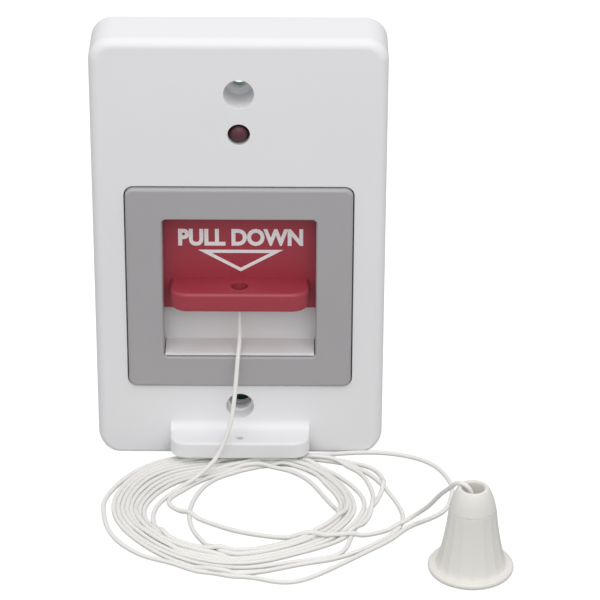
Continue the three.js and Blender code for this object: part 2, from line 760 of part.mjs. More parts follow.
add('faceplate', faceplate(), white);
add('bezel_frame', bezelFrame(), grey);
add('slide_tray', slideTray(), white);
add('pull_slider', slider(), red);
add('friction_spring_left', frictionSpring(-1), steel);
add('friction_spring_right', frictionSpring(1), steel);
add('circuit_board', circuitBoard(), green);
add('indicator_lamp', indicatorLamp(), lampRed);
add('lamp_spacer', lampSpacer(), white);
add('lamp_lead_left', lampLead(-1), steel);
add('lamp_lead_right', lampLead(1), steel);
add('switch_body', switchBody(), black);
add('switch_button', switchButton(), red);
switchPins().forEach((z, i) => add(`switch_pin_${i + 1}`, switchPin(z), steel));
add('terminal_block', terminalBlock(), green);
for (let pole = 0; pole < poles; pole += 1) add(`terminal_screw_${pole + 1}`, terminalScrewAt(pole), steel);
traySeats.forEach(([x, z], i) => add(`tray_screw_${i + 1}`, rearScrew(x, z, trayBack), steel));
boardSeats.forEach(([x, z], i) => add(`board_screw_${i + 1}`, rearScrew(x, z, boardBack), steel));
add('resistor_1', axialPart(-15, resistorZ, resistorDiameter, resistorLength), tan);
add('resistor_2', axialPart(15, resistorZ, resistorDiameter, resistorLength), tan);
add('diode', axialPart(-19, 82, resistorDiameter + 0.3, resistorLength - 1.1), black);
add('capacitor', capacitor(), black);
const shelfKnot = new THREE.Vector3(0, cordHoleY, knotSeatZ);
add('cord_knot', knot(shelfKnot, cordHole, 3.2, 1.2), cordWhite);
add('cord_drop', cordAlong(dropRoute, 28), cordWhite);
add('cord_coil', cordCoil(), cordWhite);
add('cord_loop', cordAlong(loopRoute, 28), cordWhite);
add('cord_tail', cordAlong(tailRoute, 22), cordWhite);
const bellKnot = bellCentre.clone().setZ(bellWebTop - bellWeb - clearance - 1.4);
add('bell_knot', knot(bellKnot, cordHole, 3.4, 1.4), cordWhite);
add('pull_bell', pullBell(), white);

export default group;
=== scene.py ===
"""Looks of an emergency pull cord alarm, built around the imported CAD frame.

Sizes are written in millimetres and turned to metres when a mesh is finished. X runs to the right, Y away from the
viewer and Z up. A depth is counted inwards from the plate's front face.
"""
from __future__ import annotations

import logging
import math
from dataclasses import dataclass, field
from enum import Enum
from typing import Callable, Iterable, Sequence

import bmesh
import bpy
import numpy as np
from mathutils import Matrix, Vector

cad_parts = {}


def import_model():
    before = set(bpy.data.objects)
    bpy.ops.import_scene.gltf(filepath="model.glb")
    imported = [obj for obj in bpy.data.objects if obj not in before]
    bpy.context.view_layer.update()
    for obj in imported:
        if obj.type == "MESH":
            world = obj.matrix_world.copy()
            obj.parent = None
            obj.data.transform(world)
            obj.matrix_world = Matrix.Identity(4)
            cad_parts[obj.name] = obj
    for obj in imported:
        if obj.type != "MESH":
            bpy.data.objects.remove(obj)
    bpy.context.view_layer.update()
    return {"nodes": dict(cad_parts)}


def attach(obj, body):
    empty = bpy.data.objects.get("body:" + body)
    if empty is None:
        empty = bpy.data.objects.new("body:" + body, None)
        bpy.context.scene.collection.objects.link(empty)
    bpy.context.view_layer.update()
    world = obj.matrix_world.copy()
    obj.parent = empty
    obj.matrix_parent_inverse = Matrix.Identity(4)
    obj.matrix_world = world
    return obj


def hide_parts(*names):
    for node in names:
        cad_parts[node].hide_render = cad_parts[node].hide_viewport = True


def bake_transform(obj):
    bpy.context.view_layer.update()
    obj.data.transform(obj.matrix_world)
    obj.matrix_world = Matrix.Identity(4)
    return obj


LOG = logging.getLogger("pull_cord_alarm")
MM = 0.001
FRONT = -7.25  # the plate's front face along Y, in millimetres
WELD = 0.002 * MM  # points of a CAD node that lie closer than this are one point
FACE_AREA_WEIGHT = 90  # how much more a large face counts than a small one in smooth shading
SHADING_ANGLE = 30.0  # edges of a moulding sharper than this many degrees stay sharp
Point = Sequence[float]
Outline = list[tuple[float, float]]
Ring = list[bmesh.types.BMVert]


class Body(Enum):
    """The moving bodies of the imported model."""

    HOUSING = "housing"
    SLIDER = "slider"
    BUTTON = "button"


class Slot(Enum):
    """Names of material slots."""

    WHITE = "white_plastic"
    GREY = "grey_plastic"
    RED = "red_plastic"
    LAMP = "lamp_red"
    BOARD = "board_green"
    BLOCK = "block_green"
    BLACK = "black_plastic"
    STEEL = "steel"
    CORD = "cord_white"


# Colours and shader nodes.


def linear(colour: str) -> tuple[float, float, float, float]:
    """Turns an sRGB hex colour to the linear values that a shader takes.

    Args:
        colour: Six hex digits, such as "E1E1E3".

    Returns:
        Linear red, green and blue, and an alpha of 1.
    """
    parts = [int(colour[i : i + 2], 16) / 255 for i in (0, 2, 4)]
    r, g, b = (c / 12.92 if c <= 0.04045 else ((c + 0.055) / 1.055) ** 2.4 for c in parts)
    return (r, g, b, 1.0)


def add_node(tree: bpy.types.NodeTree, kind: str, settings: dict | None = None, links: dict | None = None
             ) -> bpy.types.Node:
    """Adds one node to a tree, with its settings and links.

    Args:
        tree: The node tree.
        kind: The node's type name.
        settings: Values by property name, or by input name or number written as "in:NAME" or an int.
        links: Output sockets by the name or number of the input that takes them.

    Returns:
        The new node.
    """
    node = tree.nodes.new(kind)
    for name, value in (settings or {}).items():
        if isinstance(name, int):
            node.inputs[name].default_value = value
        elif name.startswith("in:"):
            node.inputs[name[3:]].default_value = value
        else:
            setattr(node, name, value)
    for name, socket in (links or {}).items():
        tree.links.new(socket, node.inputs[name])
    return node


def new_material(name: str) -> tuple[bpy.types.Material, bpy.types.NodeTree]:
    """Makes an empty node material.

    Args:
        name: The material's name.

    Returns:
        The material and its tree, which holds an output and nothing else.
    """
    material = bpy.data.materials.new(name)
    material.use_nodes = True
    material.node_tree.nodes.clear()
    return material, material.node_tree


def close_material(tree: bpy.types.NodeTree, shader: bpy.types.NodeSocket) -> None:
    """Joins a shader to the material's output."""
    output = tree.nodes.new("ShaderNodeOutputMaterial")
    tree.links.new(shader, output.inputs["Surface"])


@dataclass(frozen=True)
class MouldedPlastic:
    """Plastic moulded in a spark-eroded tool, mostly ABS: an even colour, a fine satin grain and faint flow clouds.

    The tool's real grain is about 0.1 mm. It is drawn at 0.35 mm, which the render can still show.
    """

    name: str
    colour: str
    shade: str
    roughness: float = 0.42
    grain_mm: float = 0.35
    grain_depth: float = 0.12
    cloud_mm: float = 38.0
    coat: float = 0.0

    def build(self) -> bpy.types.Material:
        """Makes the material.

        Returns:
            The finished material.
        """
        material, tree = new_material(self.name)
        place = add_node(tree, "ShaderNodeTexCoord").outputs["Object"]
        cloud = add_node(tree, "ShaderNodeTexNoise", {"in:Scale": 1 / (self.cloud_mm * MM), "in:Detail": 2.0},
                         {"Vector": place})
        mix = add_node(tree, "ShaderNodeMix", {"data_type": "RGBA", 6: linear(self.colour), 7: linear(self.shade)},
                       {0: cloud.outputs["Fac"]})
        grain = add_node(tree, "ShaderNodeTexNoise", {"in:Scale": 1 / (self.grain_mm * MM), "in:Detail": 3.0},
                         {"Vector": place})
        sheen = add_node(tree, "ShaderNodeMapRange",
                         {"in:To Min": self.roughness - 0.05, "in:To Max": self.roughness + 0.07},
                         {"Value": grain.outputs["Fac"]})
        bump = add_node(tree, "ShaderNodeBump", {"in:Strength": self.grain_depth, "in:Distance": 0.05 * MM},
                        {"Height": grain.outputs["Fac"]})
        shader = add_node(tree, "ShaderNodeBsdfPrincipled",
                          {"in:IOR": 1.53, "in:Coat Weight": self.coat, "in:Coat Roughness": 0.2},
                          {"Base Color": mix.outputs[2], "Roughness": sheen.outputs[0], "Normal": bump.outputs[0]})
        close_material(tree, shader.outputs[0])
        return material


@dataclass(frozen=True)
class ClearEpoxy:
    """Tinted epoxy of a lamp: dark while unlit, with painted shade that darkens it towards its rim."""

    name: str
    colour: str
    # edge: the colour of the painted shade at the lens's rim
    edge: str
    middle_m: tuple[float, float, float]
    core_mm: float = 1.5
    rim_shade_mm: float = 2.35

    def build(self) -> bpy.types.Material:
        """Makes the material.

        Returns:
            The finished material.
        """
        material, tree = new_material(self.name)
        place = add_node(tree, "ShaderNodeTexCoord").outputs["Object"]
        offset = add_node(tree, "ShaderNodeVectorMath", {"operation": "SUBTRACT", 1: self.middle_m}, {0: place})
        across = add_node(tree, "ShaderNodeVectorMath", {"operation": "MULTIPLY", 1: (1.0, 0.0, 1.0)},
                          {0: offset.outputs[0]})
        away = add_node(tree, "ShaderNodeVectorMath", {"operation": "LENGTH"}, {0: across.outputs[0]})
        # Painted shade: the colour darkens from the core out to the rim.
        level = add_node(tree, "ShaderNodeMapRange",
                         {"interpolation_type": "SMOOTHSTEP", "in:From Min": self.core_mm * MM,
                          "in:From Max": self.rim_shade_mm * MM}, {"Value": away.outputs["Value"]})
        mix = add_node(tree, "ShaderNodeMix", {"data_type": "RGBA", 6: linear(self.colour), 7: linear(self.edge)},
                       {0: level.outputs[0]})
        shader = add_node(tree, "ShaderNodeBsdfPrincipled",
                          {"in:Roughness": 0.38, "in:IOR": 1.5, "in:Specular IOR Level": 0.3},
                          {"Base Color": mix.outputs[2]})
        close_material(tree, shader.outputs[0])
        return material


@dataclass(frozen=True)
class BraidedPolyester:
    """A round braid of bright white polyester yarn: two sets of yarns cross round the cord and catch soft light.

    The grooves between the yarns are painted a little darker as shade, so the cord looks ribbed from near by and
    plain from afar.
    """

    name: str
    colour: str
    # the darker colour painted into the grooves as shade
    groove_shade: str
    yarns: float = 6.0
    relief: float = 0.2

    def build(self) -> bpy.types.Material:
        """Makes the material. The piece's UV map runs in braid pitches along the cord and once round it.

        Returns:
            The finished material.
        """
        material, tree = new_material(self.name)
        uv = add_node(tree, "ShaderNodeUVMap", {"uv_map": "braid"}).outputs["UV"]
        split = add_node(tree, "ShaderNodeSeparateXYZ", {}, {"Vector": uv})
        waves = []
        for turn in (1.0, -1.0):
            around = add_node(tree, "ShaderNodeMath", {"operation": "MULTIPLY", 1: turn * self.yarns * 2 * math.pi},
                              {0: split.outputs["Y"]})
            phase = add_node(tree, "ShaderNodeMath", {"operation": "MULTIPLY_ADD", 1: 2 * math.pi},
                             {0: split.outputs["X"], 2: around.outputs[0]})
            waves.append(add_node(tree, "ShaderNodeMath", {"operation": "SINE"}, {0: phase.outputs[0]}))
        yarn = add_node(tree, "ShaderNodeMath", {"operation": "MAXIMUM"},
                        {0: waves[0].outputs[0], 1: waves[1].outputs[0]})
        level = add_node(tree, "ShaderNodeMapRange", {"in:From Min": -0.6, "in:From Max": 0.8},
                         {"Value": yarn.outputs[0]})
        # Painted shade: the grooves between the yarns are darker than the yarns' crowns.
        mix = add_node(tree, "ShaderNodeMix", {"data_type": "RGBA", 6: linear(self.groove_shade), 7: linear(self.colour)},
                       {0: level.outputs[0]})
        bump = add_node(tree, "ShaderNodeBump", {"in:Strength": self.relief, "in:Distance": 0.06 * MM},
                        {"Height": level.outputs[0]})
        shader = add_node(tree, "ShaderNodeBsdfPrincipled",
                          {"in:Roughness": 0.62, "in:IOR": 1.5, "in:Sheen Weight": 0.25, "in:Sheen Roughness": 0.4},
                          {"Base Color": mix.outputs[2], "Normal": bump.outputs[0]})
        close_material(tree, shader.outputs[0])
        return material


@dataclass(frozen=True)
class PlatedSteel:
    """Nickel-plated steel: bright, with fine drawing lines and a little tarnish."""

    name: str
    colour: str
    shade: str
    roughness: float = 0.28

    def build(self) -> bpy.types.Material:
        """Makes the material.

        Returns:
            The finished material.
        """
        material, tree = new_material(self.name)
        place = add_node(tree, "ShaderNodeTexCoord").outputs["Object"]
        stretch = add_node(tree, "ShaderNodeMapping", {"in:Scale": (1.0, 0.15, 1.0)}, {"Vector": place})
        lines = add_node(tree, "ShaderNodeTexNoise", {"in:Scale": 1 / (0.2 * MM), "in:Detail": 2.0},
                         {"Vector": stretch.outputs[0]})
        tarnish = add_node(tree, "ShaderNodeTexNoise", {"in:Scale": 1 / (2.2 * MM)}, {"Vector": place})
        mix = add_node(tree, "ShaderNodeMix", {"data_type": "RGBA", 6: linear(self.colour), 7: linear(self.shade)},
                       {0: tarnish.outputs["Fac"]})
        rough = add_node(tree, "ShaderNodeMapRange",
                         {"in:To Min": self.roughness - 0.06, "in:To Max": self.roughness + 0.12},
                         {"Value": lines.outputs["Fac"]})
        shader = add_node(tree, "ShaderNodeBsdfPrincipled", {"in:Metallic": 1.0},
                          {"Base Color": mix.outputs[2], "Roughness": rough.outputs[0]})
        close_material(tree, shader.outputs[0])
        return material


@dataclass(frozen=True)
class SolderMask:
    """Epoxy glass board under green solder mask: copper shows through lighter, with darker etched gaps between."""

    name: str
    colour: str
    track: str
    area_mm: float = 11.0

    def build(self) -> bpy.types.Material:
        """Makes the material.

        Returns:
            The finished material.
        """
        material, tree = new_material(self.name)
        place = add_node(tree, "ShaderNodeTexCoord").outputs["Object"]
        near, next_near = (add_node(tree, "ShaderNodeTexVoronoi",
                                    {"distance": "CHEBYCHEV", "feature": feature,
                                     "in:Scale": 1 / (self.area_mm * MM), "in:Randomness": 0.9}, {"Vector": place})
                           for feature in ("F1", "F2"))
        apart = add_node(tree, "ShaderNodeMath", {"operation": "SUBTRACT"},
                         {0: next_near.outputs["Distance"], 1: near.outputs["Distance"]})
        edge = add_node(tree, "ShaderNodeMapRange", {"in:From Min": 0.035, "in:From Max": 0.06},
                        {"Value": apart.outputs[0]})
        mix = add_node(tree, "ShaderNodeMix", {"data_type": "RGBA", 6: linear(self.colour), 7: linear(self.track)},
                       {0: edge.outputs[0]})
        bump = add_node(tree, "ShaderNodeBump", {"in:Strength": 0.3, "in:Distance": 0.04 * MM},
                        {"Height": edge.outputs[0]})
        shader = add_node(tree, "ShaderNodeBsdfPrincipled",
                          {"in:Roughness": 0.32, "in:IOR": 1.5, "in:Coat Weight": 0.3},
                          {"Base Color": mix.outputs[2], "Normal": bump.outputs[0]})
        close_material(tree, shader.outputs[0])
        return material


@dataclass(frozen=True)
class PadInk:
    """Opaque pad-printing ink: a thin matt film with small pinholes of a darker tone."""

    name: str
    colour: str
    shade: str

    def build(self) -> bpy.types.Material:
        """Makes the material.

        Returns:
            The finished material.
        """
        material, tree = new_material(self.name)
        place = add_node(tree, "ShaderNodeTexCoord").outputs["Object"]
        film = add_node(tree, "ShaderNodeTexNoise", {"in:Scale": 1 / (0.5 * MM), "in:Detail": 3.0}, {"Vector": place})
        level = add_node(tree, "ShaderNodeMapRange", {"in:From Min": 0.3, "in:From Max": 0.45},
                         {"Value": film.outputs["Fac"]})
        mix = add_node(tree, "ShaderNodeMix", {"data_type": "RGBA", 6: linear(self.shade), 7: linear(self.colour)},
                       {0: level.outputs[0]})
        shader = add_node(tree, "ShaderNodeBsdfPrincipled", {"in:Roughness": 0.5}, {"Base Color": mix.outputs[2]})
        close_material(tree, shader.outputs[0])
        return material


class Finishes:
    """Every finish of the alarm, built once."""

    def __init__(self) -> None:
        """Builds the materials."""
        self.plate = MouldedPlastic("white ABS, moulded", "F1F1F3", "ECECEE", roughness=0.52).build()
        self.tray = MouldedPlastic("white ABS tray, moulded", "EDEDED", "E6E6E7", grain_depth=0.08).build()
        self.frame = MouldedPlastic("grey ABS, moulded", "B0AEB0", "ABA9AB", roughness=0.4, grain_depth=0.2).build()
        self.slider = MouldedPlastic("red ABS, moulded", "A93A49", "A23646", roughness=0.38, grain_depth=0.1).build()
        self.bell = MouldedPlastic("ivory polypropylene, moulded", "ECEAE4", "E6E4DD", roughness=0.4,
                                   grain_depth=0.06).build()
        # The lens carries painted shade that darkens it to 1F1013 at its rim.
        self.lens = ClearEpoxy("dark red epoxy lens", "5E353D", "1F1013", (0.0, 0.0, 0.0866)).build()
        # The braid's grooves carry painted shade in E3E1DD.
        self.cord = BraidedPolyester("white polyester braid", "F4F3F0", "E3E1DD").build()
        self.steel = PlatedSteel("nickel-plated steel", "C9CACB", "B4B3AF").build()
        self.solder = PlatedSteel("tin solder", "C4C6C8", "AEB0B3", roughness=0.22).build()
        self.board = SolderMask("green solder mask", "2C6B4A", "3B8059").build()
        self.block = MouldedPlastic("green polyamide, moulded", "2F7D4E", "2A7346", roughness=0.45).build()
        self.black = MouldedPlastic("black phenolic, moulded", "232325", "1E1E20", roughness=0.4).build()
        self.lacquer = MouldedPlastic("tan lacquer", "C9B184", "BFA677", roughness=0.25, coat=0.5).build()
        self.ink = PadInk("white pad ink", "F4F1F2", "EBDFE1").build()


# Meshes.


def rounded_outline(x: float, z: float, width: float, height: float, radius: float, steps: int = 8) -> Outline:
    """Gives a rectangle with round corners.

    Args:
        x: Middle along X.
        z: Middle along Z.
        width: Size along X.
        height: Size along Z.
        radius: Corner radius.
        steps: Faces in each corner.

    Returns:
        Points (x, z), anticlockwise as seen from the front.
    """
    points = []
    for side, level, start in ((1, -1, -90), (1, 1, 0), (-1, 1, 90), (-1, -1, 180)):
        for k in range(steps + 1):
            angle = math.radians(start + 90 * k / steps)
            points.append((x + side * (width / 2 - radius) + radius * math.cos(angle),
                           z + level * (height / 2 - radius) + radius * math.sin(angle)))
    return points


def circle_outline(x: float, z: float, radius: float, count: int = 48) -> Outline:
    """Gives the points of a circle in the plane of the plate."""
    return [(x + radius * math.cos(2 * math.pi * k / count), z + radius * math.sin(2 * math.pi * k / count))
            for k in range(count)]


def at_depth(outline: Outline, depth: float) -> list[tuple[float, float, float]]:
    """Puts an outline at a depth behind the plate's front face."""
    return [(x, FRONT + depth, z) for x, z in outline]


def quarter(radius: float, steps: int) -> Outline:
    """Gives a rounded edge as pairs of how far it lies behind the face and inside the side."""
    angles = [math.pi / 2 * k / steps for k in range(steps + 1)]
    return [(radius * (1 - math.sin(a)), radius * (1 - math.cos(a))) for a in angles]


class Skin:
    """A closed skin made of rings of points, in millimetres."""

    def __init__(self) -> None:
        """Starts an empty skin."""
        self.mesh = bmesh.new()

    def ring(self, points: Iterable[Point]) -> Ring:
        """Adds one ring of points."""
        return [self.mesh.verts.new(p) for p in points]

    def bridge(self, first: Ring, second: Ring) -> None:
        """Joins two rings.

        Args:
            first: One ring.
            second: The other ring, with as many points.
        """
        count = len(first)
        for k in range(count):
            n = (k + 1) % count
            self.mesh.faces.new((first[k], first[n], second[n], second[k]))

    def loft(self, rings: Sequence[Ring]) -> None:
        """Joins rings one after another."""
        for first, second in zip(rings, rings[1:]):
            self.bridge(first, second)

    def fill(self, *rings: Ring) -> None:
        """Closes a flat area.

        Args:
            rings: The outer ring and the rings of its holes.
        """
        edges = []
        for ring in rings:
            for k, vert in enumerate(ring):
                pair = (vert, ring[(k + 1) % len(ring)])
                edges.append(self.mesh.edges.get(pair) or self.mesh.edges.new(pair))
        bmesh.ops.triangle_fill(self.mesh, use_beauty=True, use_dissolve=False, edges=edges)

    def prism(self, section: Sequence[Point], push: Point) -> None:
        """Adds a closed prism.

        Args:
            section: The points of its flat section.
            push: The vector along which the section is pushed.
        """
        near = self.ring(section)
        far = self.ring([tuple(a + b for a, b in zip(p, push)) for p in section])
        self.bridge(near, far)
        self.fill(near)
        self.fill(far)

    def finish(self, name: str, angle: float = 32.0) -> bpy.types.Object:
        """Makes the object.

        Args:
            name: The object's name.
            angle: Edges sharper than this many degrees stay sharp.

        Returns:
            A mesh object at the origin, in metres, with its faces outwards and smooth where the form is.
        """
        bmesh.ops.recalc_face_normals(self.mesh, faces=self.mesh.faces)
        data = bpy.data.meshes.new(name)
        self.mesh.to_mesh(data)
        self.mesh.free()
        data.transform(Matrix.Scale(MM, 4))
        return shaded(new_object(name, data), angle)


def new_object(name: str, data: bpy.types.ID) -> bpy.types.Object:
    """Links a new object to the scene.

    Args:
        name: The object's name.
        data: Its mesh, curve, lamp or camera data.

    Returns:
        The object, at the origin.
    """
    obj = bpy.data.objects.new(name, data)
    bpy.context.scene.collection.objects.link(obj)
    return obj


def applied(obj: bpy.types.Object) -> bpy.types.Object:
    """Makes an object's evaluated form its plain mesh.

    Args:
        obj: An object with modifiers.

    Returns:
        The same object without modifiers.
    """
    graph = bpy.context.evaluated_depsgraph_get()
    graph.update()
    data = bpy.data.meshes.new_from_object(obj.evaluated_get(graph), preserve_all_data_layers=True, depsgraph=graph)
    obj.modifiers.clear()
    obj.data = data
    return obj


def shaded(obj: bpy.types.Object, angle: float) -> bpy.types.Object:
    """Shades a mesh smooth, keeps its sharp edges and lets large faces lead the shading.

    Args:
        obj: A mesh object.
        angle: Edges sharper than this many degrees stay sharp.

    Returns:
        The same object, shaded.
    """
    obj.data.polygons.foreach_set("use_smooth", [True] * len(obj.data.polygons))
    obj.data.set_sharp_from_angle(angle=math.radians(angle))
    weighted = obj.modifiers.new("weighted", "WEIGHTED_NORMAL")
    weighted.keep_sharp = True
    weighted.weight = FACE_AREA_WEIGHT
    return applied(obj)


def softened(source: bpy.types.Object, name: str, width: float, angle: float = 40.0) -> bpy.types.Object:
    """Copies a CAD node, welds it and breaks its sharp edges as a moulding tool does.

    Args:
        source: The CAD node, which is left as it is.
        name: The new piece's name.
        width: Width of the broken edge in millimetres.
        angle: Edges sharper than this many degrees are broken.

    Returns:
        The new piece.
    """
    mesh = bmesh.new()
    mesh.from_mesh(source.data)
    mesh.transform(source.matrix_world)
    bmesh.ops.remove_doubles(mesh, verts=mesh.verts, dist=WELD)
    bmesh.ops.dissolve_limit(mesh, angle_limit=math.radians(1), verts=mesh.verts, edges=mesh.edges)
    data = bpy.data.meshes.new(name)
    mesh.to_mesh(data)
    mesh.free()
    obj = new_object(name, data)
    bevel = obj.modifiers.new("edges", "BEVEL")
    bevel.width = width * MM
    bevel.segments = 2
    bevel.limit_method = "ANGLE"
    bevel.angle_limit = math.radians(angle)
    bevel.use_clamp_overlap = True
    return shaded(applied(obj), 50)


def dress(obj: bpy.types.Object, material: bpy.types.Material, body: Body, slot: Slot,
          *nodes: str) -> bpy.types.Object:
    """Gives a piece its finish and its place in the model.

    Args:
        obj: The piece.
        material: Its finish.
        body: The moving body that it rides on.
        slot: Its material slot; not used.
        nodes: The CAD nodes that it stands for.

    Returns:
        The same piece.
    """
    obj.data.materials.clear()
    obj.data.materials.append(material)
    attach(obj, body.value)
    if nodes:
        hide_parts(*nodes)
    LOG.info("%s: %d faces on %s", obj.name, len(obj.data.polygons), body.value)
    return obj


def scattered(name: str, template: bpy.types.Object, places: Sequence[Point], turns: Sequence[float],
              material: bpy.types.Material) -> bpy.types.Object:
    """Repeats one small part at given places with Geometry Nodes.

    Args:
        name: The new piece's name.
        template: The part, made at the origin in metres.
        places: Places in millimetres.
        turns: Turn of each part about Y, in degrees.
        material: The finish that the tree sets.

    Returns:
        A plain mesh with every copy in its place.
    """
    seeds = bpy.data.meshes.new(name)
    seeds.from_pydata([tuple(c * MM for c in p) for p in places], [], [])
    turn = seeds.attributes.new("turn", "FLOAT", "POINT")
    turn.data.foreach_set("value", [math.radians(t) for t in turns])
    obj = new_object(name, seeds)
    tree = bpy.data.node_groups.new(name + " tree", "GeometryNodeTree")
    tree.interface.new_socket("Geometry", in_out="INPUT", socket_type="NodeSocketGeometry")
    size = tree.interface.new_socket("Part size", in_out="INPUT", socket_type="NodeSocketFloat")
    size.default_value = 1.0
    tree.interface.new_socket("Geometry", in_out="OUTPUT", socket_type="NodeSocketGeometry")
    given = add_node(tree, "NodeGroupInput")
    part = add_node(tree, "GeometryNodeObjectInfo", {"in:Object": template})
    angle = add_node(tree, "GeometryNodeInputNamedAttribute", {"data_type": "FLOAT", "in:Name": "turn"})
    rotation = add_node(tree, "ShaderNodeCombineXYZ", {}, {"Y": angle.outputs["Attribute"]})
    copies = add_node(tree, "GeometryNodeInstanceOnPoints", {},
                      {"Points": given.outputs["Geometry"], "Instance": part.outputs["Geometry"],
                       "Rotation": rotation.outputs[0], "Scale": given.outputs["Part size"]})
    real = add_node(tree, "GeometryNodeRealizeInstances", {}, {"Geometry": copies.outputs[0]})
    finish = add_node(tree, "GeometryNodeSetMaterial", {"in:Material": material}, {"Geometry": real.outputs[0]})
    end = add_node(tree, "NodeGroupOutput", {}, {"Geometry": finish.outputs[0]})
    end.is_active_output = True
    modifier = obj.modifiers.new("copies", "NODES")
    modifier.node_group = tree
    modifier[size.identifier] = 1.0
    applied(obj)
    bpy.data.objects.remove(template)
    return obj


def turned(name: str, profile: Sequence[tuple[float, float]], sides: int, closed: bool = False,
           squeeze: Callable[[float, float], float] | None = None, angle: float = 32.0) -> bpy.types.Object:
    """Turns a profile of (radius, height) about Z.

    Args:
        name: The object's name.
        profile: Points from one end to the other, in millimetres.
        sides: Number of sides.
        closed: Whether the profile's end joins its start.
        squeeze: Gives a factor for the radius from the height and the angle.
        angle: Edges sharper than this many degrees stay sharp.

    Returns:
        The turned object.
    """
    skin = Skin()
    rings = []
    for radius, height in profile:
        if radius < 1e-6:
            rings.append([skin.mesh.verts.new((0, 0, height))])
            continue
        ring = []
        for k in range(sides):
            around = 2 * math.pi * k / sides
            r = radius * (squeeze(height, around) if squeeze else 1)
            ring.append(skin.mesh.verts.new((r * math.cos(around), r * math.sin(around), height)))
        rings.append(ring)
    pairs = list(zip(rings, rings[1:])) + ([(rings[-1], rings[0])] if closed else [])
    for first, second in pairs:
        if len(first) == 1 or len(second) == 1:
            tip, ring = (first[0], second) if len(first) == 1 else (second[0], first)
            for k in range(sides):
                skin.mesh.faces.new((tip, ring[k], ring[(k + 1) % sides]))
        else:
            skin.bridge(first, second)
    return skin.finish(name, angle)


def placed(obj: bpy.types.Object, matrix: Matrix) -> bpy.types.Object:
    """Moves a piece's mesh and leaves its object at the origin."""
    obj.data.transform(matrix)
    return obj


# Sub-assemblies.


@dataclass
class NosedBar:
    """A bar with round front corners and edges, such as the cord ledge and the pull shelf."""

    width: float
    back: float
    nose: float
    bottom: float
    top: float
    corner: float
    edge: float
    bore: float
    bore_y: float
    counterbore: float = 0.0
    seat: float = 0.0
    steps: int = 10
    hole_sides: int = 28

    def hole(self) -> Outline:
        """Gives the cord hole's wall, with its upper edge broken.

        Returns:
            Pairs of radius and height, from the bottom up.
        """
        bore, wide = self.bore / 2, self.counterbore / 2
        if not self.counterbore:
            return [(bore, self.bottom), (bore, self.top - 0.2), (bore + 0.2, self.top)]
        return [(bore, self.bottom), (bore, self.seat), (wide, self.seat), (wide, self.top - 0.35),
                (wide + 0.1, self.top - 0.1), (wide + 0.35, self.top)]

    def plan(self, inset: float) -> Outline:
        """Gives the bar's outline seen from above.

        Args:
            inset: How far its sides and nose are drawn in.

        Returns:
            Points (x, y) from the back left to the back right.
        """
        half, radius = self.width / 2 - inset, self.corner - inset
        middle = self.width / 2 - self.corner
        points = [(-half, self.back)]
        for x, start in ((-middle, math.pi), (middle, 1.5 * math.pi)):
            y = self.nose + self.corner
            for k in range(self.steps + 1):
                angle = start + math.pi / 2 * k / self.steps
                points.append((x + radius * math.cos(angle), y + radius * math.sin(angle)))
        points.append((half, self.back))
        return points

    def add_to(self, skin: Skin) -> None:
        """Adds the bar, its edges and its cord hole.

        Args:
            skin: The skin that takes them.
        """
        edges = quarter(self.edge, 5)
        levels = [(self.bottom + lift, inset) for lift, inset in reversed(edges)]
        levels += [(self.top - lift, inset) for lift, inset in edges]
        rings = [skin.ring([(x, y, z) for x, y in self.plan(inset)]) for z, inset in levels]
        skin.loft(rings)
        walls = [skin.ring([(x, y + self.bore_y, z) for x, y in circle_outline(0, 0, r, self.hole_sides)])
                 for r, z in self.hole()]
        skin.loft(walls)
        skin.fill(rings[0], walls[0])
        skin.fill(rings[-1], walls[-1])


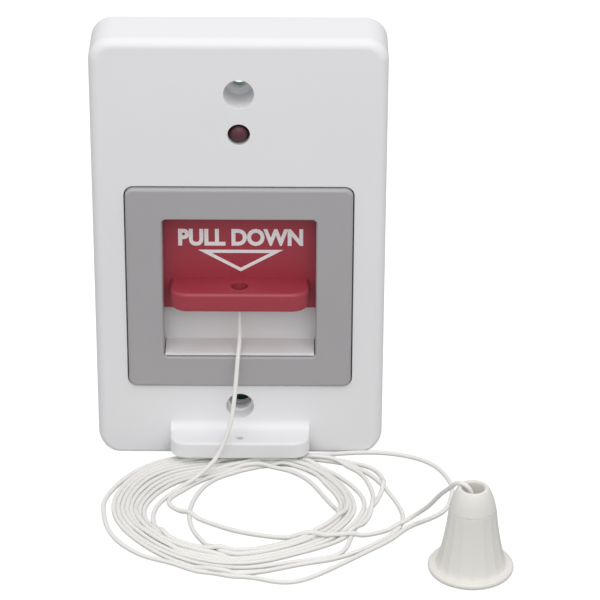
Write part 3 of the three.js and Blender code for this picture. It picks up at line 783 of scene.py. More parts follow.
@dataclass
class Faceplate:
    """The white moulded plate with its two screw wells, lamp hole, frame opening and cord ledge."""

    width: float = 70.0
    height: float = 110.5
    depth: float = 14.5
    corner: float = 5.5
    edge: float = 2.2
    foot_round: float = 0.8
    wall: float = 2.2
    skin: float = 2.4
    head_bore: float = 7.2
    low_bore: float = 6.8
    lamp_bore: float = 5.3
    tube: float = 9.8
    lip: float = 0.12
    top_seat: float = 8.5
    top_shank: float = 1.95
    top_back: float = 10.0
    low_seat: float = 3.7
    low_shank: float = 2.8
    low_back: float = 5.5
    lamp_seat: float = 4.4
    lamp_socket: float = 4.1
    top_z: float = 96.92
    low_z: float = 13.28
    lamp_z: float = 86.6
    ledge_fillet: float = 2.2
    window_z: float = 46.05
    window_width: float = 54.2
    window_height: float = 53.5
    window_corner: float = 2.0
    ledge: NosedBar = field(default_factory=lambda: NosedBar(34.2, FRONT + 1, FRONT - 8.1, 2.85, 7.35, 4.2, 0.7,
                                                             1.6, FRONT - 5.2))

    def outline(self, inset: float, foot: float | None = None) -> Outline:
        """Gives the plate's outline.

        Args:
            inset: How far it is drawn in.
            foot: How far it is drawn in at the bottom edge, if that differs.

        Returns:
            Points (x, z).
        """
        foot = inset if foot is None else foot
        return rounded_outline(0, (self.height + foot - inset) / 2, self.width - 2 * inset,
                               self.height - inset - foot, self.corner - inset, 12)

    def foot_inset(self, drop: float) -> float:
        """Gives how far the smaller round of the bottom edge draws in at a depth."""
        reach = min(1.0, 1 - min(drop, self.foot_round) / self.foot_round)
        return self.foot_round * (1 - math.sqrt(1 - reach**2))

    def hole(self, skin: Skin, z: float, radius: float, rings: Outline) -> tuple[Ring, Ring]:
        """Adds a round hole with a broken front edge.

        Args:
            skin: The skin to add to.
            z: Height of its middle.
            radius: Radius at the front.
            rings: The rest of its wall as pairs of radius and depth, ending behind the plate's skin.

        Returns:
            The ring in the front face and the ring behind it.
        """
        angles = [math.pi / 6 * k for k in range(4)]
        wall = [(radius + self.lip - self.lip * math.sin(a), self.lip * (1 - math.cos(a))) for a in angles]
        loops = [skin.ring(at_depth(circle_outline(0, z, r), d)) for r, d in [*wall, *rings]]
        skin.loft(loops)
        return loops[0], loops[-1]

    def build(self) -> bpy.types.Object:
        """Makes the plate.

        Returns:
            The plate with its wells, lamp hole, opening and ledge.
        """
        skin = Skin()
        sides = [skin.ring(at_depth(self.outline(inset, self.foot_inset(drop)), drop))
                 for drop, inset in quarter(self.edge, 14)]
        rear = skin.ring(at_depth(self.outline(0), self.depth))
        inner = [skin.ring(at_depth(self.outline(self.wall), d)) for d in (self.depth, self.skin)]
        skin.loft([*inner[::-1], rear, *sides])
        tube, bore = self.tube / 2, self.head_bore / 2
        low_bore, lamp_bore = self.low_bore / 2, self.lamp_bore / 2
        top = self.hole(skin, self.top_z, bore,
                        [(bore, self.top_seat), (self.top_shank, self.top_seat), (self.top_shank, self.top_back),
                         (tube, self.top_back), (tube, self.skin)])
        low = self.hole(skin, self.low_z, low_bore,
                        [(low_bore, self.low_seat), (self.low_shank, self.low_seat), (self.low_shank, self.low_back),
                         (tube, self.low_back), (tube, self.skin)])
        lamp = self.hole(skin, self.lamp_z, lamp_bore,
                         [(lamp_bore, self.lamp_seat), (self.lamp_socket, self.lamp_seat),
                          (self.lamp_socket, self.skin)])
        window = []
        for gap, deep in ((0.45, 0.0), (0.34, 0.06), (0.3, 0.2), (0.3, self.skin)):
            outline = rounded_outline(0, self.window_z, self.window_width + 2 * gap, self.window_height + 2 * gap,
                                      self.window_corner + gap)
            window.append(skin.ring(at_depth(outline, deep)))
        skin.loft(window)
        skin.fill(sides[-1], top[0], low[0], lamp[0], window[0])
        skin.fill(inner[1], top[1], low[1], lamp[1], window[-1])
        self.ledge.add_to(skin)
        self.add_fillet(skin)
        return skin.finish("faceplate_moulding", SHADING_ANGLE)

    def add_fillet(self, skin: Skin) -> None:
        """Adds the hollow fillet between the plate and the top of its ledge.

        It reaches into both by a little and starts just above the ledge, so that no two faces share a plane.

        Args:
            skin: The skin that takes it.
        """
        top, r, reach, lift, steps = self.ledge.top, self.ledge_fillet, 0.4, 0.01, 12
        section = [(FRONT + reach, top - reach), (FRONT - r, top - reach)]
        for k in range(steps + 1):
            angle = math.pi / 2 * k / steps
            section.append((FRONT - r + r * math.sin(angle), top + lift + r - r * math.cos(angle)))
        section.append((FRONT + reach, top + r))
        half = self.ledge.width / 2
        skin.prism([(-half, y, z) for y, z in section], (2 * half, 0, 0))


@dataclass
class BezelFrame:
    """The grey frame round the pull slider."""

    width: float = 54.2
    height: float = 53.5
    middle: float = 46.05
    proud: float = 1.0
    edge: float = 0.8
    corner: float = 2.0
    opening_width: float = 36.8
    opening_height: float = 37.1
    flange: float = 1.9
    flange_face: float = 2.7
    back: float = 4.2

    def outline(self, grow: float, radius: float) -> Outline:
        """Gives the frame's outside grown by a margin."""
        return rounded_outline(0, self.middle, self.width + 2 * grow, self.height + 2 * grow, radius)

    def mouth(self, grow: float) -> Outline:
        """Gives the opening grown by a margin."""
        return rounded_outline(0, self.middle, self.opening_width + 2 * grow, self.opening_height + 2 * grow,
                               1 + grow)

    def build(self) -> bpy.types.Object:
        """Makes the frame, from its rear flange over its front and back through the opening.

        Returns:
            The frame.
        """
        rim = self.outline(self.flange, self.corner)
        shapes = [(rim, self.back), (rim, self.flange_face), (self.outline(0, self.corner), self.flange_face)]
        shapes += [(self.outline(-inset, self.corner - inset), drop - self.proud)
                   for drop, inset in quarter(self.edge, 7)]
        shapes += [(self.mouth(grow), depth) for grow, depth in
                   ((0.5, -1.0), (0.36, -0.98), (0.2, -0.86), (0.06, -0.6), (0.0, -0.3), (0.0, self.back))]
        skin = Skin()
        rings = [skin.ring(at_depth(outline, depth)) for outline, depth in shapes]
        skin.loft(rings)
        skin.bridge(rings[-1], rings[0])
        return skin.finish("bezel_moulding", SHADING_ANGLE)


@dataclass
class PullSlider:
    """The red slider: a plate behind the frame, a pull shelf and an arm that works the switch."""

    face: float = 4.7
    back: float = 6.5
    half: float = 20.6
    bottom: float = 38.2
    top: float = 74.8
    edge: float = 0.2
    corner: float = 0.8
    inset: float = 0.01
    arm_left: float = 12.8
    arm_right: float = 16.56
    cam_right: float = 15.31
    cam_start: float = 79.6
    arm_top: float = 92.0
    shelf: NosedBar = field(default_factory=lambda: NosedBar(33.6, FRONT + 5.7, FRONT - 3.7, 41.2, 46.2, 4.4, 0.9,
                                                             1.8, FRONT + 1.0, 4.0, 42.4))

    def build(self) -> bpy.types.Object:
        """Makes the slider.

        Returns:
            The slider's plate with its shelf and arm.
        """
        skin = Skin()
        middle, height = (self.bottom + self.top) / 2, self.top - self.bottom
        rings = []
        for side, deep in ((1, self.back), (-1, self.face)):
            lips = [(self.edge, 0.0), (self.edge * 0.3, self.edge * 0.3), (0.0, self.edge)]
            for inset, drop in lips if side > 0 else lips[::-1]:
                outline = rounded_outline(0, middle, 2 * (self.half - inset), height - 2 * inset,
                                          self.corner - inset)
                rings.append(skin.ring(at_depth(outline, deep - side * drop)))
        skin.loft(rings)
        skin.fill(rings[0])
        skin.fill(rings[-1])
        self.shelf.add_to(skin)
        self.add_arm(skin)
        return skin.finish("slider_moulding", SHADING_ANGLE)

    def add_arm(self, skin: Skin) -> None:
        """Adds the arm and its sloping cam edge.

        Args:
            skin: The skin that takes them.
        """
        root = self.top - 0.6
        arm = [(self.arm_left, root), (self.arm_right, root), (self.arm_right, self.cam_start),
               (self.cam_right, self.arm_top), (self.arm_left, self.arm_top)]
        skin.prism(at_depth(arm, self.face + self.inset), (0, self.back - self.face - 2 * self.inset, 0))


@dataclass
class Legend:
    """White print on the slider: two generic words over a triangle that points down."""

    words: str = "PULL DOWN"
    width: float = 30.1
    cap: float = 4.6
    middle_x: float = 0.25
    base_z: float = 55.05
    top_z: float = 54.0
    apex_z: float = 48.15
    reach: float = 20.6
    line: float = 0.85
    film: float = 0.03
    bolder: float = 0.044
    face_y: float = FRONT + 4.7

    def build(self) -> bpy.types.Object:
        """Makes the print as a thin raised film.

        Returns:
            The words and the triangle as one piece.
        """
        word = self.word()
        skin = Skin()
        half, height = self.reach / 2, self.top_z - self.apex_z
        run = math.hypot(half, height)
        outer = [(-half, self.top_z), (0, self.apex_z), (half, self.top_z)]
        inner_top = self.top_z - self.line
        inner_apex = self.apex_z + self.line * run / half
        inner_half = (inner_top - inner_apex) * half / height
        inner = [(-inner_half, inner_top), (0, inner_apex), (inner_half, inner_top)]
        layers = [(outer, self.face_y), (outer, self.face_y - self.film), (inner, self.face_y - self.film),
                  (inner, self.face_y)]
        rings = [skin.ring([(x + self.middle_x, y, z) for x, z in shape]) for shape, y in layers]
        skin.loft(rings)
        skin.bridge(rings[-1], rings[0])
        triangle = skin.finish("legend_triangle", SHADING_ANGLE)
        return joined("slider_legend", [word, triangle])

    def word(self) -> bpy.types.Object:
        """Makes the words, sized to their width and cap height.

        Returns:
            A closed mesh that stands on the slider's face.
        """
        curve = bpy.data.curves.new("legend_word", "FONT")
        curve.body = self.words
        curve.offset = self.bolder
        curve.resolution_u = 4
        text = new_object("legend_word", curve)
        graph = bpy.context.evaluated_depsgraph_get()
        data = bpy.data.meshes.new_from_object(text.evaluated_get(graph))
        bpy.data.objects.remove(text)
        mesh = bmesh.new()
        mesh.from_mesh(data)
        bmesh.ops.remove_doubles(mesh, verts=mesh.verts, dist=1e-5)
        xs = [v.co.x for v in mesh.verts]
        ys = [v.co.y for v in mesh.verts]
        wide, tall = self.width / (max(xs) - min(xs)), self.cap / (max(ys) - min(ys))
        for v in mesh.verts:
            x = (v.co.x - (max(xs) + min(xs)) / 2) * wide + self.middle_x
            z = self.base_z + (v.co.y - min(ys)) * tall
            v.co = Vector((x * MM, (self.face_y - self.film) * MM, z * MM))
        made = bmesh.ops.extrude_face_region(mesh, geom=list(mesh.faces))
        for item in made["geom"]:
            if isinstance(item, bmesh.types.BMVert):
                item.co.y += self.film * MM
        bmesh.ops.recalc_face_normals(mesh, faces=mesh.faces)
        out = bpy.data.meshes.new("legend_word")
        mesh.to_mesh(out)
        mesh.free()
        return new_object("legend_word", out)


def joined(name: str, parts: Sequence[bpy.types.Object]) -> bpy.types.Object:
    """Joins flat-shaded pieces into one.

    Args:
        name: The new piece's name.
        parts: The pieces, which go.

    Returns:
        The new piece.
    """
    mesh = bmesh.new()
    for part in parts:
        mesh.from_mesh(part.data)
        bpy.data.objects.remove(part)
    for face in mesh.faces:
        face.smooth = False
    data = bpy.data.meshes.new(name)
    mesh.to_mesh(data)
    mesh.free()
    return new_object(name, data)


@dataclass
class IndicatorLamp:
    """The unlit 5 mm lamp: a round lens on a collar."""

    radius: float = 2.5
    collar: float = 2.9
    length: float = 8.6
    proud: float = 0.5
    z: float = 86.6
    steps: int = 12

    def build(self) -> bpy.types.Object:
        """Makes the lamp.

        Returns:
            The lens and its collar, pointing to the viewer.
        """
        straight = self.length - self.radius
        profile = [(0, 0), (self.collar - 0.1, 0), (self.collar, 0.1), (self.collar, 0.9), (self.collar - 0.1, 1.0),
                   (self.radius, 1.0)]
        for k in range(self.steps + 1):
            angle = math.pi / 2 * k / self.steps
            profile.append((self.radius * math.cos(angle), straight + self.radius * math.sin(angle)))
        profile[-1] = (0, self.length)
        lamp = turned("lamp_lens", profile, 40)
        y = FRONT - self.proud + self.length
        return placed(lamp, Matrix.Translation((0, y * MM, self.z * MM)) @ Matrix.Rotation(math.pi / 2, 4, "X"))


@dataclass
class PullBell:
    """The small bell at the cord's end: a faceted skirt, a rounded flange, a smooth crown and a hollow inside."""

    x: float = 54.5
    y: float = -59.35
    height: float = 22.0
    flange: float = 10.0
    flange_height: float = 1.5
    skirt_top: float = 16.6
    foot: float = 8.3
    neck: float = 5.5
    wall: float = 1.0
    flats: int = 16
    flat_depth: float = 1.35
    flat_fade: float = 1.2
    web_top: float = 14.6
    web: float = 1.4
    cord_hole: float = 0.9
    throat: float = 2.6
    rows: int = 22

    crown = [(2.75, 21.85), (3.0, 22.0), (3.45, 21.86), (3.75, 21.5), (4.2, 20.6), (4.62, 19.6), (4.95, 18.6),
             (5.2, 17.6), (5.38, 16.9), (5.42, 16.66), (5.3, 16.55)]

    def skirt(self, z: float) -> float:
        """Gives the skirt's radius at a height."""
        down = (self.skirt_top - z) / (self.skirt_top - self.flange_height)
        return self.neck + (self.foot - self.neck) * (0.55 * down + 0.45 * down**2.4)

    def facet(self, z: float, around: float) -> float:
        """Gives how far a flat draws the skirt in.

        Args:
            z: Height on the skirt.
            around: Angle round the bell.

        Returns:
            A factor for the radius, which is 1 off the skirt.
        """
        if not self.flange_height + 0.05 < z < self.skirt_top - 0.05:
            return 1.0
        step = 2 * math.pi / self.flats
        off = (around + step / 2) % step - step / 2
        flat = math.cos(step / 2) / math.cos(step / 2 - abs(off))
        fade = min(1.0, (self.skirt_top - z) / self.flat_fade)
        return 1 + (flat - 1) * fade * self.flat_depth

    def build(self) -> bpy.types.Object:
        """Makes the bell.

        Returns:
            The bell, standing on the floor.
        """
        low, start = self.web_top - self.web, self.skirt_top - 0.1
        outer = [(self.cord_hole, low), (self.cord_hole, self.web_top), (self.throat, self.web_top),
                 (self.throat, self.height - 0.5), *self.crown]
        for k in range(self.rows + 1):
            z = start - (start - self.flange_height) * k / self.rows
            outer.append((self.skirt(z) - (0.1 if k == 0 else 0), z))
        outer.append((self.foot + 0.25, self.flange_height))
        lip = self.flange_height / 2
        for k in range(9):
            angle = math.pi / 2 - math.pi * k / 8
            outer.append((self.flange - lip + lip * math.cos(angle), lip + lip * math.sin(angle)))
        inside = [(self.skirt(max(z, 1.6)) - self.wall, z) for z in (0, 1.5, 4, 7, 10)]
        inside += [(self.skirt(low - 0.6) - self.wall, low - 0.6), (self.skirt(low) - self.wall - 0.6, low)]
        bell = turned("bell_moulding", outer + inside, self.flats * 6, closed=True, squeeze=self.facet, angle=14)
        return placed(bell, Matrix.Translation((self.x * MM, self.y * MM, 0)))


@dataclass
class PullCord:
    """The white pull cord, one length from the knot in the shelf to the knot in the bell.

    It drops over the frame and the ledge, lies in loose turns in front of the plate and climbs to the bell. Each turn
    runs left, front, right and back, and carries its place in the laying order, from the floor up.

    Attributes:
        diameter: The cord's own, in millimetres, as every size here.
        spacing: Distance between the points of the middle line.
        length: Length from knot to knot in metres; not used.
        sides: Sides of the cord's section.
        pitch: Length of one braid pitch.
        lift: Height that each place in the laying order adds at the start.
        pull: Share of the way back to its traced place that a loose point goes in a step.
        fall: How far a loose point falls in a step.
        stiffness: Share of the way to the middle of its neighbours that a point goes in a step.
        steps: Steps of settling.
        grip: The same as pull, for the points of the drop and the rise.
        clearance: Distance of two touching middle lines, in diameters.
        overshoot: How much of the missing distance a step makes up.
        near: Distance within which two points are watched for touching.
        recheck: Steps between two searches for such points.
        chunk: Points that one search handles at a time.
        plate_half: Half the width over which the plate is in the way.
        plate_gap: Room between the cord and the plate.
        ledge_half: Half the ledge's width and a little room.
        ledge_nose: Front of the ledge along Y.
        ledge_z: Underside of the ledge.
        path: The finished middle line in metres.
    """

    diameter: float = 1.1
    spacing: float = 0.6
    length: float = 1.94
    sides: int = 12
    pitch: float = 1.1
    lift: float = 0.16
    pull: float = 0.06
    fall: float = 0.012
    stiffness: float = 0.35
    steps: int = 420
    grip: float = 0.5
    clearance: float = 1.01
    overshoot: float = 1.3
    near: float = 2.0
    recheck: int = 20
    chunk: int = 500
    plate_half: float = 36.0
    plate_gap: float = 0.05
    ledge_half: float = 17.4
    ledge_nose: float = -15.35
    ledge_z: float = 2.8
    path: list[Point] = field(default_factory=list)

    drop = [(0, -6.25, 43.3), (0, -6.25, 41), (0, -6.25, 38), (0, -6.25, 34.5), (0, -6.25, 32), (-0.1, -6.9, 30.7),
            (-0.25, -8.7, 29.8), (-0.5, -9.9, 27.6), (-1, -12.2, 21.5), (-1.8, -15.2, 15), (-3.1, -16.9, 10.3),
            (-4.2, -17.6, 7.6), (-5.4, -18.3, 5.2), (-7.2, -19.8, 3.7), (-9.3, -22.2, 3.0)]
    rise = [(38.6, -42.1, 0.9), (40.4, -41.0, 1.6), (42.4, -41.4, 3.4), (44.9, -44.6, 7.5), (47.6, -50.2, 14.5),
            (49.8, -55.8, 20), (50.6, -57.55, 22.1), (51.6, -58.6, 23.1), (53.0, -59.3, 22.6), (54.3, -59.35, 20.6),
            (54.5, -59.35, 17.5), (54.5, -59.35, 14.8), (54.5, -59.35, 12.6)]
    turns = {
        "first": (11, [
            (-12.9, -24.9), (-16.6, -28.3), (-19.2, -32.2), (-20.3, -36.3), (-20.4, -39.9), (-19.5, -43.9),
            (-17.4, -47.7), (-13.9, -50.7), (-9.4, -52.9), (-4.9, -54.3), (-0.5, -54.7), (5.9, -53.6), (13.6, -50.5),
            (18.6, -47.0), (22.4, -42.7), (25.1, -38.0), (26.4, -33.7), (25.7, -28.9), (23.3, -23.7), (19.9, -19.2),
            (16.0, -15.3), (11.8, -12.8),
        ]),
        "third": (5, [
            (-12.1, -18.9), (-16.9, -21.8), (-20.2, -25.5), (-22.4, -29.7), (-23.7, -33.6), (-23.9, -37.2),
            (-22.3, -41.7), (-19.5, -46.1), (-15.4, -50.3), (-10.6, -52.6), (-5.6, -54.4), (-0.9, -54.8),
            (5.4, -53.4), (13.6, -49.9), (18.8, -46.3), (22.4, -42.3), (25.1, -37.6), (26.1, -33.7), (24.9, -28.4),
            (22.6, -23.4), (19.2, -18.9), (15.3, -15.4), (11.1, -13.3),
        ]),
        "fifth": (4, [
            (-13.2, -16.3), (-18.7, -19.4), (-22.2, -23.4), (-24.6, -28.1), (-25.8, -32.2), (-26.0, -35.9),
            (-24.3, -40.4), (-21.5, -45.3), (-17.3, -50.1), (-12.4, -53.3), (-6.8, -55.7), (-1.6, -56.5),
            (5.9, -55.4), (14.8, -51.4), (20.0, -48.1), (23.8, -43.6), (26.5, -39.1), (27.7, -34.6), (27.1, -29.6),
            (25.5, -25.0), (22.6, -20.1), (18.5, -15.6), (14.1, -12.3),
        ]),
        "wide right": (3, [
            (-12.8, -13.4), (-19.1, -15.9), (-23.6, -20.2), (-26.2, -25.3), (-27.5, -30.0), (-27.7, -34.1),
            (-26.8, -38.6), (-24.1, -43.9), (-20.1, -49.2), (-15.3, -53.5), (-8.6, -57.0), (-1.5, -58.8),
            (5.9, -57.9), (14.8, -54.0), (21.4, -50.5), (25.6, -47.2), (29.0, -42.3), (30.8, -38.7), (31.8, -34.8),
            (32.7, -30.4), (32.5, -27.8), (31.7, -23.4), (30.2, -18.8), (27.1, -14.8), (22.2, -12.2), (16.8, -11.3),
        ]),
        "far right": (1, [
            (-10.9, -11.8), (-18.0, -12.5), (-22.7, -16.1), (-27.1, -22.1), (-29.3, -27.7), (-30.0, -33.6),
            (-29.1, -39.1), (-27.0, -44.0), (-23.4, -49.2), (-19.2, -53.8), (-14.4, -57.9), (-8.5, -61.7),
            (-1.5, -63.5), (5.9, -62.2), (14.4, -59.1), (21.1, -57.1), (25.3, -55.4), (29.6, -52.4), (33.6, -48.9),
            (36.3, -46.6), (38.3, -43.5), (39.6, -37.6), (38.6, -33.3), (37.3, -29.2), (35.7, -25.5), (34.6, -22.6),
            (32.2, -18.8), (29.5, -15.9), (25.9, -13.4), (21.0, -11.8), (16.8, -10.8),
        ]),
        "widest": (0, [
            (-10.6, -11.3), (-16.8, -12.0), (-19.7, -13.4), (-24.2, -16.0), (-27.4, -20.0), (-29.5, -23.5),
            (-31.5, -27.8), (-32.6, -32.1), (-32.3, -36.2), (-31.6, -41.2), (-30.1, -45.8), (-27.6, -50.2),
            (-24.6, -53.4), (-22.4, -55.4), (-18.0, -57.4), (-12.5, -59.7), (-9.6, -61.7), (-4.9, -62.8),
            (0.9, -64.4), (3.9, -64.3), (6.1, -65.5), (9.3, -66.6), (13.6, -66.6), (18.9, -63.4), (22.2, -60.7),
            (25.4, -57.9), (28.7, -55.0), (31.4, -52.5), (34.3, -50.1), (36.4, -48.0), (38.4, -45.1), (41.1, -41.9),
            (45.0, -39.4), (48.6, -36.5), (50.4, -33.6), (51.2, -29.9), (51.9, -25.5), (51.7, -22.7), (50.7, -19.6),
            (48.9, -15.4), (46.1, -12.2), (42.2, -9.9), (38.3, -8.6), (34.4, -7.9), (28.4, -8.1), (22.0, -8.9),
            (15.8, -10.2),
        ]),
        "hooked": (2, [
            (-12.3, -12.5), (-18.4, -14.0), (-22.9, -17.8), (-26.6, -23.0), (-28.5, -28.6), (-29.2, -34.1),
            (-28.2, -39.1), (-25.5, -44.4), (-21.5, -49.7), (-16.1, -54.6), (-9.7, -58.5), (-1.5, -60.6),
            (5.9, -60.1), (14.8, -57.5), (19.9, -56.6), (23.7, -55.2), (25.3, -53.1), (26.2, -50.6), (26.6, -48.0),
            (27.6, -44.0), (29.8, -38.8), (31.8, -34.0), (33.6, -29.6), (34.9, -25.6), (35.4, -23.4), (35.0, -20.4),
            (34.1, -17.3), (32.2, -15.0), (28.3, -13.2), (22.2, -11.5), (16.8, -10.4),
        ]),
        "sixth": (6, [
            (-13.2, -14.9), (-19.5, -17.8), (-23.2, -22.0), (-25.7, -27.2), (-26.7, -31.3), (-26.8, -35.0),
            (-25.5, -39.5), (-22.7, -44.4), (-18.7, -49.2), (-13.9, -53.1), (-7.7, -56.1), (-1.6, -57.6),
            (5.9, -56.4), (14.8, -52.7), (20.7, -49.2), (25.2, -44.9), (28.4, -40.0), (30.1, -35.1), (30.4, -31.5),
            (29.6, -27.8), (28.1, -24.9), (25.0, -20.3), (20.9, -16.1), (16.0, -12.8),
        ]),
        "fourth": (7, [
            (-12.6, -17.7), (-17.7, -20.6), (-21.2, -24.4), (-23.4, -29.0), (-24.7, -33.1), (-24.7, -36.8),
            (-23.1, -41.3), (-20.3, -45.9), (-16.1, -50.3), (-11.5, -53.1), (-6.3, -55.0), (-1.1, -55.6),
            (5.9, -54.3), (14.3, -50.5), (19.5, -47.0), (23.1, -43.0), (25.8, -38.2), (26.9, -34.2), (26.1, -29.1),
            (24.0, -24.0), (20.9, -19.4), (16.8, -15.1), (12.3, -12.3),
        ]),
        "second": (8, [
            (-11.3, -20.1), (-15.9, -22.9), (-19.1, -26.7), (-21.4, -30.6), (-22.7, -34.5), (-22.9, -37.7),
            (-21.6, -41.9), (-18.8, -46.3), (-14.7, -50.3), (-10.1, -52.4), (-5.2, -53.7), (-0.5, -54.0),
            (5.4, -52.5), (12.9, -49.2), (17.9, -45.7), (21.4, -41.6), (24.1, -36.9), (25.2, -33.0), (23.7, -27.5),
            (21.4, -22.7), (18.0, -18.5), (13.8, -15.2), (9.4, -13.5),
        ]),
        "inner": (9, [
            (3.5, -15.4), (-0.6, -17.2), (-4.3, -19.6), (-6.4, -21.2), (-8.1, -23.6), (-9.8, -27.2), (-11.2, -31.9),
            (-11.7, -36.1), (-11.6, -40.2), (-10.3, -45.2), (-8.3, -49.1), (-6.1, -52.6), (-3.0, -55.4), (0.7, -56.3),
            (5.9, -54.8), (13.5, -51.0), (18.6, -47.4), (22.3, -43.3),
        ]),
        "back to the left": (10, [
            (24.6, -39.1), (23.5, -35.0), (21.3, -30.4), (19.2, -25.7), (16.9, -21.3), (13.3, -17.5), (9.0, -15.3),
            (4.5, -14.9), (-0.1, -15.9), (-4.8, -18.4), (-8.4, -20.8), (-11.6, -23.9), (-14.4, -26.7), (-16.6, -29.1),
            (-17.5, -31.4), (-16.6, -33.6), (-14.3, -35.4),
        ]),
        "to the bell": (12, [
            (-11, -38.15), (-5.4, -41.85), (-1.8, -44.05), (2.6, -45.65), (7, -46.85), (13.5, -47.85), (16.8, -48.15),
            (24.5, -47.35), (29.7, -46.35), (33.5, -45.15), (36.3, -43.65),
        ]),
    }

    def route(self) -> tuple[np.ndarray, np.ndarray]:
        """Gives the cord's middle line at even steps and the laying order of each step.

        Returns:
            Points in millimetres, and an order that is -1 where the height is fixed.
        """
        points, order = list(self.drop), [-1] * len(self.drop)
        for rank, turn in self.turns.values():
            points += [(x, y, 0.0) for x, y in turn]
            order += [rank] * len(turn)
        points, order = np.array(points + self.rise, float), np.array(order + [-1] * len(self.rise))
        line, place = self.spline(points)
        ranks = order[np.clip(np.round(place).astype(int), 0, len(order) - 1)]
        return self.evened(line, ranks)

    def spline(self, points: np.ndarray) -> tuple[np.ndarray, np.ndarray]:
        """Runs a centripetal Catmull-Rom curve through points.

        Args:
            points: The points to pass through.

        Returns:
            Close points on the curve, and the place of each among the given points.
        """
        ends = np.vstack([2 * points[0] - points[1], points, 2 * points[-1] - points[-2]])
        line, place = [], []
        for i in range(1, len(ends) - 2):
            p = ends[i - 1 : i + 3]
            knots = np.cumsum([0.0, *[max(np.linalg.norm(b - a), 1e-6) ** 0.5 for a, b in zip(p, p[1:])]])
            count = max(4, int(np.linalg.norm(p[2] - p[1]) / 0.2))
            t = np.linspace(knots[1], knots[2], count, endpoint=False)[:, None]

            def between(a: np.ndarray, b: np.ndarray, low: float, high: float) -> np.ndarray:
                """Blends two values from one knot to another."""
                return (high - t) / (high - low) * a + (t - low) / (high - low) * b

            a1, a2, a3 = (between(p[k], p[k + 1], knots[k], knots[k + 1]) for k in range(3))
            b1, b2 = between(a1, a2, knots[0], knots[2]), between(a2, a3, knots[1], knots[3])
            line.append(between(b1, b2, knots[1], knots[2]))
            place.append(i - 1 + np.linspace(0, 1, count, endpoint=False))
        return np.vstack([*line, points[-1:]]), np.concatenate([*place, [len(points) - 1]])

    def evened(self, line: np.ndarray, ranks: np.ndarray) -> tuple[np.ndarray, np.ndarray]:
        """Spaces a line's points evenly.

        Args:
            line: Close points on the line.
            ranks: The laying order at each of them.

        Returns:
            The even points and their laying order.
        """
        run = np.concatenate([[0], np.cumsum(np.linalg.norm(np.diff(line, axis=0), axis=1))])
        even = np.linspace(0, run[-1], int(run[-1] / self.spacing) + 1)
        out = np.stack([np.interp(even, run, line[:, k]) for k in range(3)], axis=1)
        nearest = np.searchsorted(run, even).clip(0, len(ranks) - 1)
        return out, ranks[nearest]

    @staticmethod
    def smoothed(values: np.ndarray, reach: int, times: int = 1) -> np.ndarray:
        """Averages values with their neighbours.

        Args:
            values: Points along a line.
            reach: Neighbours on each side.
            times: How often.

        Returns:
            As many points, smoothed.
        """
        out = values.copy()
        for _ in range(times):
            pad = np.concatenate([np.repeat(out[:1], reach, 0), out, np.repeat(out[-1:], reach, 0)])
            out = np.mean([pad[k : k + len(values)] for k in range(2 * reach + 1)], axis=0)
        return out

    def laid(self) -> np.ndarray:
        """Lets the traced turns settle on the floor, beside and over each other.

        Every step pulls each point down and towards its traced place, bends the cord evenly, pushes touching
        stretches apart and keeps them on the floor, in front of the plate and under the ledge.

        Returns:
            The cord's middle line in millimetres.
        """
        line, ranks = self.route()
        free = ranks >= 0
        radius = self.diameter / 2
        line[free, 2] = radius + self.lift * ranks[free]
        goal = self.smoothed(line, 2, 3)
        line = goal.copy()
        hold = np.where(free, self.pull, self.grip)[:, None]
        first, second = self.touching(line)
        for step in range(self.steps):
            line[free, 2] -= self.fall
            line[:, :2] += (goal[:, :2] - line[:, :2]) * hold
            line[~free, 2] += (goal[~free, 2] - line[~free, 2]) * self.grip
            middle = (line[:-2] + line[2:]) / 2
            line[1:-1] += (middle - line[1:-1]) * self.stiffness
            if step % self.recheck == self.recheck - 1:
                first, second = self.touching(line)
            line = self.parted(line, first, second)
            line = self.inside(line, free)
        ends = line[[0, -1]].copy()
        line = self.smoothed(line, 1, 2)
        line[[0, -1]] = ends
        return line

    def touching(self, line: np.ndarray) -> tuple[np.ndarray, np.ndarray]:
        """Gives the pairs of points that may touch.

        Args:
            line: The cord's middle line.

        Returns:
            The two point numbers of every pair.
        """
        apart = int(3 * self.diameter / self.spacing)
        index = np.arange(len(line))
        firsts, seconds = [], []
        for start in range(0, len(line), self.chunk):
            here = index[start : start + self.chunk]
            gap = line[here, None, :] - line[None]
            near = (np.einsum("abc,abc->ab", gap, gap) < self.near**2) & (index[None] > here[:, None] + apart)
            a, b = np.nonzero(near)
            firsts.append(here[a])
            seconds.append(b)
        return np.concatenate(firsts), np.concatenate(seconds)

    def parted(self, line: np.ndarray, first: np.ndarray, second: np.ndarray) -> np.ndarray:
        """Pushes touching points apart, each by half of what is missing.

        Args:
            line: The cord's middle line.
            first: One point number of every pair that may touch.
            second: The other one.

        Returns:
            The parted line.
        """
        gap = line[first] - line[second]
        size = np.linalg.norm(gap, axis=1)
        close = size < self.diameter * self.clearance
        gap, size, first, second = gap[close], np.maximum(size[close], 1e-6), first[close], second[close]
        push = gap / size[:, None] * ((self.diameter * self.clearance - size) * 0.5)[:, None]
        total = np.zeros_like(line)
        count = np.zeros(len(line))
        np.add.at(total, first, push)
        np.add.at(total, second, -push)
        np.add.at(count, first, 1)
        np.add.at(count, second, 1)
        return line + total / np.maximum(count, 1)[:, None] * self.overshoot

